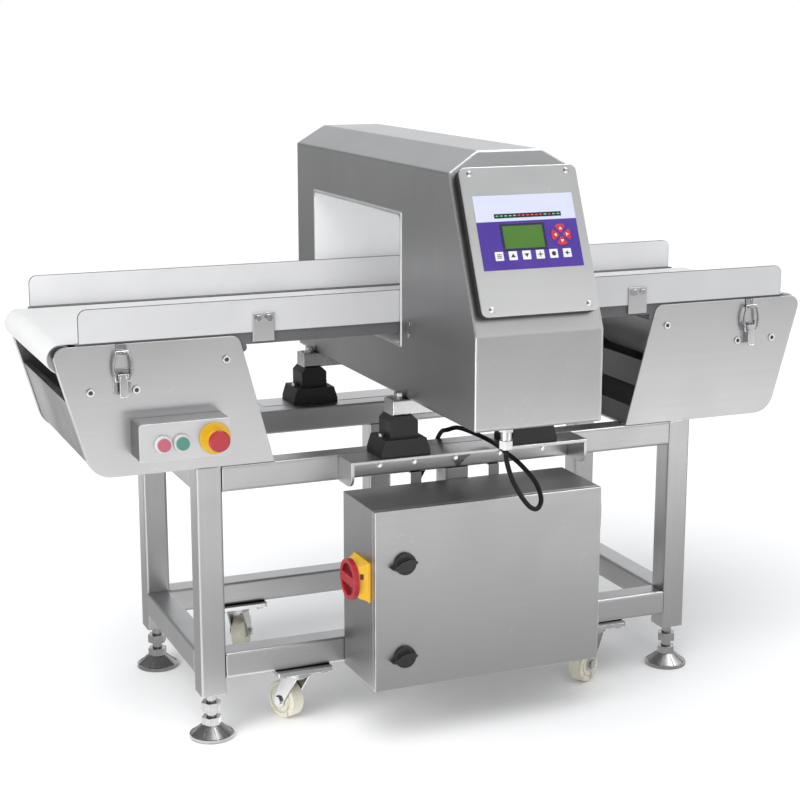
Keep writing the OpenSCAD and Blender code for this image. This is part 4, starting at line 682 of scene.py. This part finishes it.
LAMP_S, STRIP_HALF, KEYS_END, RAISED = 0.2092, 0.005, 0.146, 0.00005
lamp_black = plastic("black lamp strip", (0.012, 0.014, 0.016), rough=0.25)
key_white = plastic("white key", (0.74, 0.74, 0.77), rough=0.35, shade=0.95)


def raised_at(face):
    """How far up the slope a face lies that stands above the label, or None."""
    away = face.center - SLOPE_FOOT
    return away.dot(SLOPE_UP) if away.dot(SLOPE_OUT) > LABEL_TOP + RAISED else None


def on_strip(face):
    """Whether a face belongs to the raised strip of the lamps."""
    s = raised_at(face)
    return s is not None and abs(s - LAMP_S) < STRIP_HALF


def on_key(face):
    """Whether a face belongs to one of the raised keys."""
    s = raised_at(face)
    return s is not None and s < KEYS_END


second_finish("control_panel", lamp_black, on_strip)
second_finish("control_panel", key_white, on_key)


def slope_place(x, s, off):
    """A point x across, s up the slope and off its face."""
    return SLOPE_FOOT + Vector((x, 0.0, 0.0)) + SLOPE_UP * s + SLOPE_OUT * off


def flat_shapes(name, outlines, raise_by, thickness, material, bevel=0.0):
    """Thin shapes raised over the label, each given by its outline in (x, s)."""
    off = LABEL_TOP + raise_by
    shapes = bmesh.new()
    for outline in outlines:
        low = [shapes.verts.new(slope_place(x, s, off)) for x, s in outline]
        high = [shapes.verts.new(slope_place(x, s, off + thickness)) for x, s in outline]
        shapes.faces.new(high)
        shapes.faces.new(list(reversed(low)))
        wall(shapes, low, high)
    piece = add_piece(name, shapes, material)
    if bevel:
        soften = piece.modifiers.new("soft edges", "BEVEL")
        soften.width, soften.segments = bevel, 2


def rectangle(x, s, width, height):
    """The outline of a rectangle round (x, s)."""
    return [(x - width / 2, s - height / 2), (x + width / 2, s - height / 2),
            (x + width / 2, s + height / 2), (x - width / 2, s + height / 2)]


def arc(x, s, radius, start, end, steps):
    """Points on a circle round (x, s), from one angle in degrees to the other."""
    turns = [math.radians(start + (end - start) * i / steps) for i in range(steps + 1)]
    return [(x + radius * math.cos(a), s + radius * math.sin(a)) for a in turns]


WINDOW_X, WINDOW_S, WINDOW_W, WINDOW_H = -0.0115, 0.1702, 0.0819, 0.045
FRAME_BAR, FRAME_LAP = 0.0042, 0.004
frame_blue = plastic("dark window frame", (0.012, 0.01, 0.05), rough=0.3)
width, height = WINDOW_W - FRAME_LAP, WINDOW_H - FRAME_LAP
bars = []
for side in (-1, 1):
    bars.append(rectangle(WINDOW_X, WINDOW_S + side * (height + FRAME_BAR) / 2,
                          width + 2 * FRAME_BAR, FRAME_BAR))
    bars.append(rectangle(WINDOW_X + side * (width + FRAME_BAR) / 2, WINDOW_S, FRAME_BAR, height))
flat_shapes("window_frame", bars, 0.00035, 0.0007, frame_blue, bevel=0.0002)

display, tree, shader, place = new_material("green display glass")
smear = smears(tree, place, 20.0)
glow = colour_between(tree, smear, (0.06, 0.165, 0.022), (0.075, 0.2, 0.03))
dots = put(tree, "ShaderNodeTexChecker", [("Vector", place)], Scale=1600.0)
dotted = colour_between(tree, dots.outputs["Fac"], glow, (0.066, 0.175, 0.026))
tree.links.new(dotted, shader.inputs["Base Color"])
tree.links.new(ramp(tree, smear, 0.0, 1.0, 0.08, 0.16), shader.inputs["Roughness"])
dress(display, "display_window")

LAMP_FIRST, LAMP_STEP, LAMP_COUNT, LAMPS_RED = -0.0565, 0.00855, 15, (5, 6, 7, 8, 9, 10, 12)
LAMP_W, LAMP_H, LAMP_RAISE, LAMP_T = 0.0052, 0.0021, 0.0003, 0.00025
lamps = [rectangle(LAMP_FIRST + LAMP_STEP * i, LAMP_S, LAMP_W, LAMP_H) for i in range(LAMP_COUNT)]
flat_shapes("lamps_green", [shape for i, shape in enumerate(lamps) if i not in LAMPS_RED],
            LAMP_RAISE, LAMP_T, plastic("green lamp", (0.1, 0.62, 0.3), rough=0.2))
flat_shapes("lamps_red", [lamps[i] for i in LAMPS_RED],
            LAMP_RAISE, LAMP_T, plastic("red lamp", (0.72, 0.05, 0.06), rough=0.2))

PAD_X, PAD_S, PAD_R, PAD_HOLE_R, PAD_SPAN, PAD_HOLE_SPAN = 0.062, 0.1702, 0.0192, 0.0042, 33, 24
MARK_AT, MARK_TIP, MARK_BACK, MARK_HALF = 0.0115, 0.0033, 0.0022, 0.0034
petals, marks = [], []
for middle in (0, 90, 180, 270):
    rim = arc(PAD_X, PAD_S, PAD_R, middle - PAD_SPAN, middle + PAD_SPAN, 10)
    hole = arc(PAD_X, PAD_S, PAD_HOLE_R, middle + PAD_HOLE_SPAN, middle - PAD_HOLE_SPAN, 4)
    petals.append(rim + hole)
    a = math.radians(middle)
    along, aside = Vector((math.cos(a), math.sin(a))), Vector((-math.sin(a), math.cos(a)))
    heart = Vector((PAD_X, PAD_S)) + along * MARK_AT
    back = heart - along * MARK_BACK
    marks.append([heart + along * MARK_TIP, back + aside * MARK_HALF, back - aside * MARK_HALF])
pad_red = plastic("red arrow key", (0.6, 0.025, 0.03), rough=0.2)
flat_shapes("arrow_keys", petals, 0.0008, 0.0012, pad_red, bevel=0.0006)
flat_shapes("arrow_marks", marks, 0.0019, 0.00025, key_white)

# Plain signs stand on the six keys: a list, up, down, a cross, a disc and an arrow.
LABEL_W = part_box("control_panel")[1].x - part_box("control_panel")[0].x
KEY_S, KEY_FIRST_SHARE, KEY_STEP_SHARE = 0.1366, -0.331, 0.1362
key_xs = [LABEL_W * (KEY_FIRST_SHARE + KEY_STEP_SHARE * i) for i in range(6)]
SIGN_HALF, SIGN_BAR, SIGN_TIP, LINE_GAP = 0.0045, 0.0017, 0.004, 0.003
menu, rise, fall, cross, disc, arrow = key_xs
signs = [rectangle(menu, KEY_S + step, 0.0088, 0.0014) for step in (-LINE_GAP, 0.0, LINE_GAP)]
signs += [
    [(rise - SIGN_HALF, KEY_S - LINE_GAP), (rise + SIGN_HALF, KEY_S - LINE_GAP),
     (rise, KEY_S + SIGN_TIP)],
    [(fall - SIGN_HALF, KEY_S + LINE_GAP), (fall, KEY_S - SIGN_TIP),
     (fall + SIGN_HALF, KEY_S + LINE_GAP)],
    rectangle(cross, KEY_S, 2 * SIGN_HALF, SIGN_BAR),
    rectangle(cross, KEY_S + 0.0027, SIGN_BAR, 0.0037),
    rectangle(cross, KEY_S - 0.0027, SIGN_BAR, 0.0037),
    arc(disc, KEY_S, 0.0042, 0, 342, 19),
    [(arrow - SIGN_HALF, KEY_S), (arrow + 0.001, KEY_S - 0.0042), (arrow + 0.001, KEY_S + 0.0042)],
    rectangle(arrow + 0.003, KEY_S, 0.004, 0.0018),
]
print_black = plastic("black print", (0.02, 0.02, 0.03), rough=0.4)
flat_shapes("key_signs", signs, 0.00065, 0.00022, print_black)

# Belt.
# Endless white food-grade belt, smooth on top, with a faint fabric pattern and a finger splice
# pressed across it; it runs over both end rollers and the drive drum.
WEAVE_SCALE, SPLICE_X, FINGER_PITCH, FINGER_LEAN, SEAM = 420.0, -0.52, 0.012, 3.0, (0.0011, 0.0003)
belt_white, tree, shader, place = new_material("white belt cover")
threads = [put(tree, "ShaderNodeTexWave", [("Vector", place)], _bands_direction=way,
               Scale=WEAVE_SCALE).outputs["Fac"] for way in "XY"]
weave = calculate(tree, "MULTIPLY", *threads)
split = put(tree, "ShaderNodeSeparateXYZ", [("Vector", place)])
finger = calculate(tree, "PINGPONG", split.outputs["Y"], FINGER_PITCH)
lean = calculate(tree, "MULTIPLY", finger, FINGER_LEAN)
slanted = calculate(tree, "SUBTRACT", split.outputs["X"], lean)
near = calculate(tree, "ABSOLUTE", calculate(tree, "SUBTRACT", slanted, SPLICE_X), 0.0)
smear = smears(tree, place, 6.0)
edge, normal = soft_edges(tree, 0.0008)
body = colour_between(tree, smear, (0.64, 0.64, 0.635), (0.7, 0.7, 0.7))
seamed = colour_between(tree, ramp(tree, near, *SEAM), body, (0.54, 0.54, 0.52))
finish(tree, shader, seamed, smear, gloss=(0.42, 0.55), height=weave, bump=0.05, normal=normal,
       depth=0.0003)
dress(belt_white, "belt")

# Conveyor bed and rollers.
# The bed is built from dark grey plastic profiles, so that no metal passes the tunnel; the end
# rollers are turned steel on shafts in flanged bearings, and the drum turns on a fixed axle.
turned_steel = brushed_metal("turned steel", (0.3, 0.3, 0.31), (0.44, 0.44, 0.45),
                             (900.0, 12.0, 900.0), rough=(0.25, 0.4))
dull_steel = brushed_metal("dull steel", (0.24, 0.24, 0.25), (0.4, 0.4, 0.41), FINE_SPECKS,
                           rough=(0.34, 0.5))
dress(plastic("dark grey bed plastic", (0.12, 0.12, 0.125), rough=0.22), "conveyor_bed")
dress(turned_steel, "end_roller_left", "end_roller_right", "drive_drum")
dress(dull_steel, "roller_bearings")

# Side guards.
# Upright white plastic strips with dark edges stand along both edges of the belt, held by folded
# steel clamps with two bolts each. Painted light and shade: the rear strips are coloured lighter,
# for the shade that falls on them, and the front strips darker, for the extra light that they get.
CLAMP_BACK, BOLTS_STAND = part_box("guard_clamps")[1].y, 0.0044
MIDDLE_BLUR, EDGE_LINE, EDGE_FACING = 0.01, (0.02, 0.3), 0.7
plate_steel = brushed_metal("satin plate steel", (0.46, 0.46, 0.465), (0.52, 0.52, 0.525), ALONG_X,
                            rough=(0.28, 0.35), edge_radius=0.0015, bump=0.02)
# The edge faces of the strips, and a thin line along their edges, are coloured dark.
dark_edge_faces = plastic("dark sawn edge", (0.035, 0.035, 0.038), rough=0.6, bump=0.2)
guard_white, tree, shader, place = new_material("white guard strip")
smear = smears(tree, place, 6.0)
line = ramp(tree, soft_edges(tree, 0.0022)[0], *EDGE_LINE)
split = put(tree, "ShaderNodeSeparateXYZ", [("Vector", place)])
# Painted light and shade: faces behind the belt's middle line get a lighter white, faces in front a
# darker one.
rear_share = ramp(tree, split.outputs["Y"], LINE_Y - MIDDLE_BLUR, LINE_Y + MIDDLE_BLUR)
front_white_painted_darker = colour_between(tree, smear, (0.54, 0.54, 0.55), (0.58, 0.58, 0.59))
rear_white_painted_lighter = colour_between(tree, smear, (0.72, 0.72, 0.725), (0.76, 0.76, 0.765))
body = colour_between(tree, rear_share, front_white_painted_darker, rear_white_painted_lighter)
outlined = colour_between(tree, line, body, (0.05, 0.05, 0.052))
finish(tree, shader, outlined, smear, gloss=(0.36, 0.46), height=noise(tree, place, 900.0, 2.0),
       bump=0.03, depth=0.0004)
dress(guard_white, "guards")
second_finish("guards", dark_edge_faces, lambda face: abs(face.normal.y) < EDGE_FACING)
dress(plate_steel, "guard_clamps")
second_finish("guard_clamps", bright_bolt,
              lambda face: abs(face.center.y - LINE_Y) > CLAMP_BACK - LINE_Y - BOLTS_STAND)

# Side plates and pans.
# Large folded stainless plates close both ends of the conveyor and carry its bearings; sheet pans
# under the belt ends tie them together. Button-head screws hold the bed.
PLATE_BACK, HEAD_STANDS, RECESS_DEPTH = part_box("side_plates")[1].y, 0.0001, 0.0028
pan_and_shade_steel = brushed_metal("satin pan steel", (0.18, 0.18, 0.182), (0.21, 0.21, 0.212), ALONG_Y,
                          rough=(0.3, 0.42))
button_head = brushed_metal("bright button head", (0.7, 0.7, 0.7), (0.85, 0.85, 0.85),
                            COARSE_SPECKS, rough=(0.3, 0.4), edge_radius=0.0008, bump=0.02)
recess_shade = plastic("dark hex recess", (0.05, 0.05, 0.052), rough=0.5, rub=0.05)


def plate_distance(face):
    """How far a face stands out from the side plates."""
    return abs(face.center.y - LINE_Y) - (PLATE_BACK - LINE_Y)


dress(plate_steel, "side_plates")
dress(pan_and_shade_steel, "end_pans")
second_finish("roller_bearings", button_head, lambda face: plate_distance(face) > HEAD_STANDS)
# Painted shade: the faces inside the hex recesses of the button heads are coloured near black.
second_finish("roller_bearings", recess_shade, lambda face: (
    HEAD_STANDS < plate_distance(face) < RECESS_DEPTH and abs(face.normal.y) > FACING))

# Toggle latches.
# Each latch is a pressed base with a lever and a wire bail; small coil springs sit on the legs of
# the bail and take up the play when it hooks over the catch on the bed.
LATCH_X, LATCH_Y = 0.664, 0.2365
BAIL_LEG = [(0.01415, 0.7268), (0.0168, 0.7372), (0.017, 0.7445), (0.0168, 0.7515),
            (0.0149, 0.7595), (0.0128, 0.7683)]
SPRING_R, SPRING_WIRE, SPRING_STEP, SPRING_POINTS = 0.00265, 0.0005, 0.00155, 9
BACKWARD = Vector((0, 1, 0))
spring_wire = brushed_metal("spring wire", (0.5, 0.5, 0.5), (0.68, 0.68, 0.68), COARSE_SPECKS,
                            rough=(0.2, 0.3), bump=0.02)


def wound(path):
    """Points of a coil wound round a path."""
    winding, travelled = [], 0.0
    for p, q in zip(path, path[1:]):
        stretch = (q - p).length
        steps = max(2, round(stretch / SPRING_STEP * SPRING_POINTS))
        across = (q - p).normalized().cross(BACKWARD).normalized()
        for i in range(steps):
            a = 2 * math.pi * (travelled + stretch * i / steps) / SPRING_STEP
            swing = (across * math.cos(a) + BACKWARD * math.sin(a)) * SPRING_R
            winding.append(p.lerp(q, i / steps) + swing)
        travelled += stretch
    return winding


dress(zinc_plate, "latch_bases")
for corner in CORNERS:
    dress(bright_bolt, "latch_lever_" + corner, "latch_bail_" + corner)
    end = -1 if corner.endswith("left") else 1
    side = -1 if corner.startswith("front") else 1
    for letter, leg in (("a", -1), ("b", 1)):
        path = [Vector((end * LATCH_X + leg * x, LINE_Y + side * LATCH_Y, z)) for x, z in BAIL_LEG]
        spring = round_line(f"latch_spring_{corner}_{letter}", wound(path), SPRING_WIRE, sides=1,
                            steps=1)
        spring.data.materials.append(spring_wire)
        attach(spring, "latch_bail_" + corner)

# Control box.
# Small folded steel box on the front side plate with two push buttons in white rings and a red
# mushroom stop button on a yellow disc.
DISC_FROM = (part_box("start_button")[1].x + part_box("estop_button")[0].x) / 2
dress(brushed_metal("satin box steel", (0.55, 0.55, 0.555), (0.63, 0.63, 0.635), ALONG_X,
                    rough=(0.36, 0.46), edge_radius=0.0015, bump=0.03), "control_box")
# Painted shade: the box's left and right faces get the dark pan steel.
second_finish("control_box", pan_and_shade_steel, looks_aside)
dress(plastic("white plastic", (0.66, 0.66, 0.67), rough=0.4, shade=0.95), "button_bezels")
second_finish("button_bezels", plastic("yellow plastic", (0.72, 0.44, 0.012), rough=0.35),
              lambda face: face.center.x > DISC_FROM)
dress(plastic("pink red cap", (0.46, 0.1, 0.15), rough=0.35), "stop_button")
dress(plastic("green cap", (0.07, 0.24, 0.19), rough=0.35), "start_button")
dress(plastic("red mushroom", (0.4, 0.02, 0.03), rough=0.28), "estop_button")

# Cabinet.
# Folded stainless cabinet with a rebated door on two hinges, hung from the front rail by straps;
# the case is brushed upright and the door across. A rotary switch sits on its left side.
GEAR_BACK, GEAR_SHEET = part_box("cabinet_gear")[1].y, 0.002
HANDLE_FACE, HANDLE_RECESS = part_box("isolator_handle")[0].x, 0.004
dress(brushed_metal("satin cabinet steel", (0.36, 0.36, 0.362), (0.42, 0.42, 0.422), ALONG_Z,
                    rough=(0.34, 0.44), edge_radius=0.002, bump=0.03), "cabinet_box")
dress(brushed_metal("satin door steel", (0.38, 0.38, 0.382), (0.43, 0.43, 0.432), ALONG_X,
                    rough=(0.34, 0.44), edge_radius=0.0028, bump=0.03, wear_and_highlight=2.2), "cabinet_door")
dress(plastic("grey housings", (0.15, 0.15, 0.16), rough=0.5), "cabinet_gear")
second_finish("cabinet_gear", zinc_plate,
              lambda face: face.center.y > GEAR_BACK - 1.05 * GEAR_SHEET)
dress(zinc_plate, "cable_glands")
dress(plastic("black plastic", (0.014, 0.014, 0.015), rough=0.4, bump=0.06),
      "lock_upper", "lock_lower")
dress(plastic("isolator red", (0.4, 0.012, 0.022), rough=0.28), "isolator_handle")
# Painted shade: the recessed faces of the handle are coloured a darker red.
second_finish("isolator_handle", plastic("shaded dark red", (0.13, 0.006, 0.01), rough=0.4),
              lambda face: face.normal.x < -FACING and face.center.x > HANDLE_FACE + HANDLE_RECESS)
dress(plastic("isolator yellow", (0.76, 0.44, 0.01), rough=0.36, edge_radius=0.0015),
      "isolator_plate")

# A small dark lens sits in the front corner of the yellow plate.
LENS_PLACE = Vector((-0.2549, LINE_Y - 0.3614, 0.3379))
LENS_OUT = Vector((-0.37, -0.93, 0.0)).normalized()
LENS_UP = Vector((0, 0, 1))
LENS_ASIDE = LENS_OUT.cross(LENS_UP).normalized()
LENS_HALF_W, LENS_HALF_H, LENS_CORNER, LENS_STEPS = 0.0022, 0.0042, 0.001, 5
LENS_RINGS = ((1.0, 0.0), (1.0, 0.0005), (0.8, 0.0009))
lens = bmesh.new()
rings = []
for share, off in LENS_RINGS:
    ring = []
    for quarter, (across, high) in enumerate(((1, 1), (-1, 1), (-1, -1), (1, -1))):
        for step in range(LENS_STEPS):
            a = math.pi / 2 * (quarter + step / (LENS_STEPS - 1))
            flat = (LENS_ASIDE * (across * LENS_HALF_W + LENS_CORNER * math.cos(a))
                    + LENS_UP * (high * LENS_HALF_H + LENS_CORNER * math.sin(a)))
            ring.append(lens.verts.new(LENS_PLACE + flat * share + LENS_OUT * off))
    rings.append(ring)
wall(lens, rings[0], rings[1])
wall(lens, rings[1], rings[2])
lens.faces.new(rings[0])
lens.faces.new(rings[2])
dark_lens = plastic("dark red lens", (0.1, 0.006, 0.008), rough=0.15, edge_radius=0.0004)
add_piece("isolator_lens", lens, dark_lens)
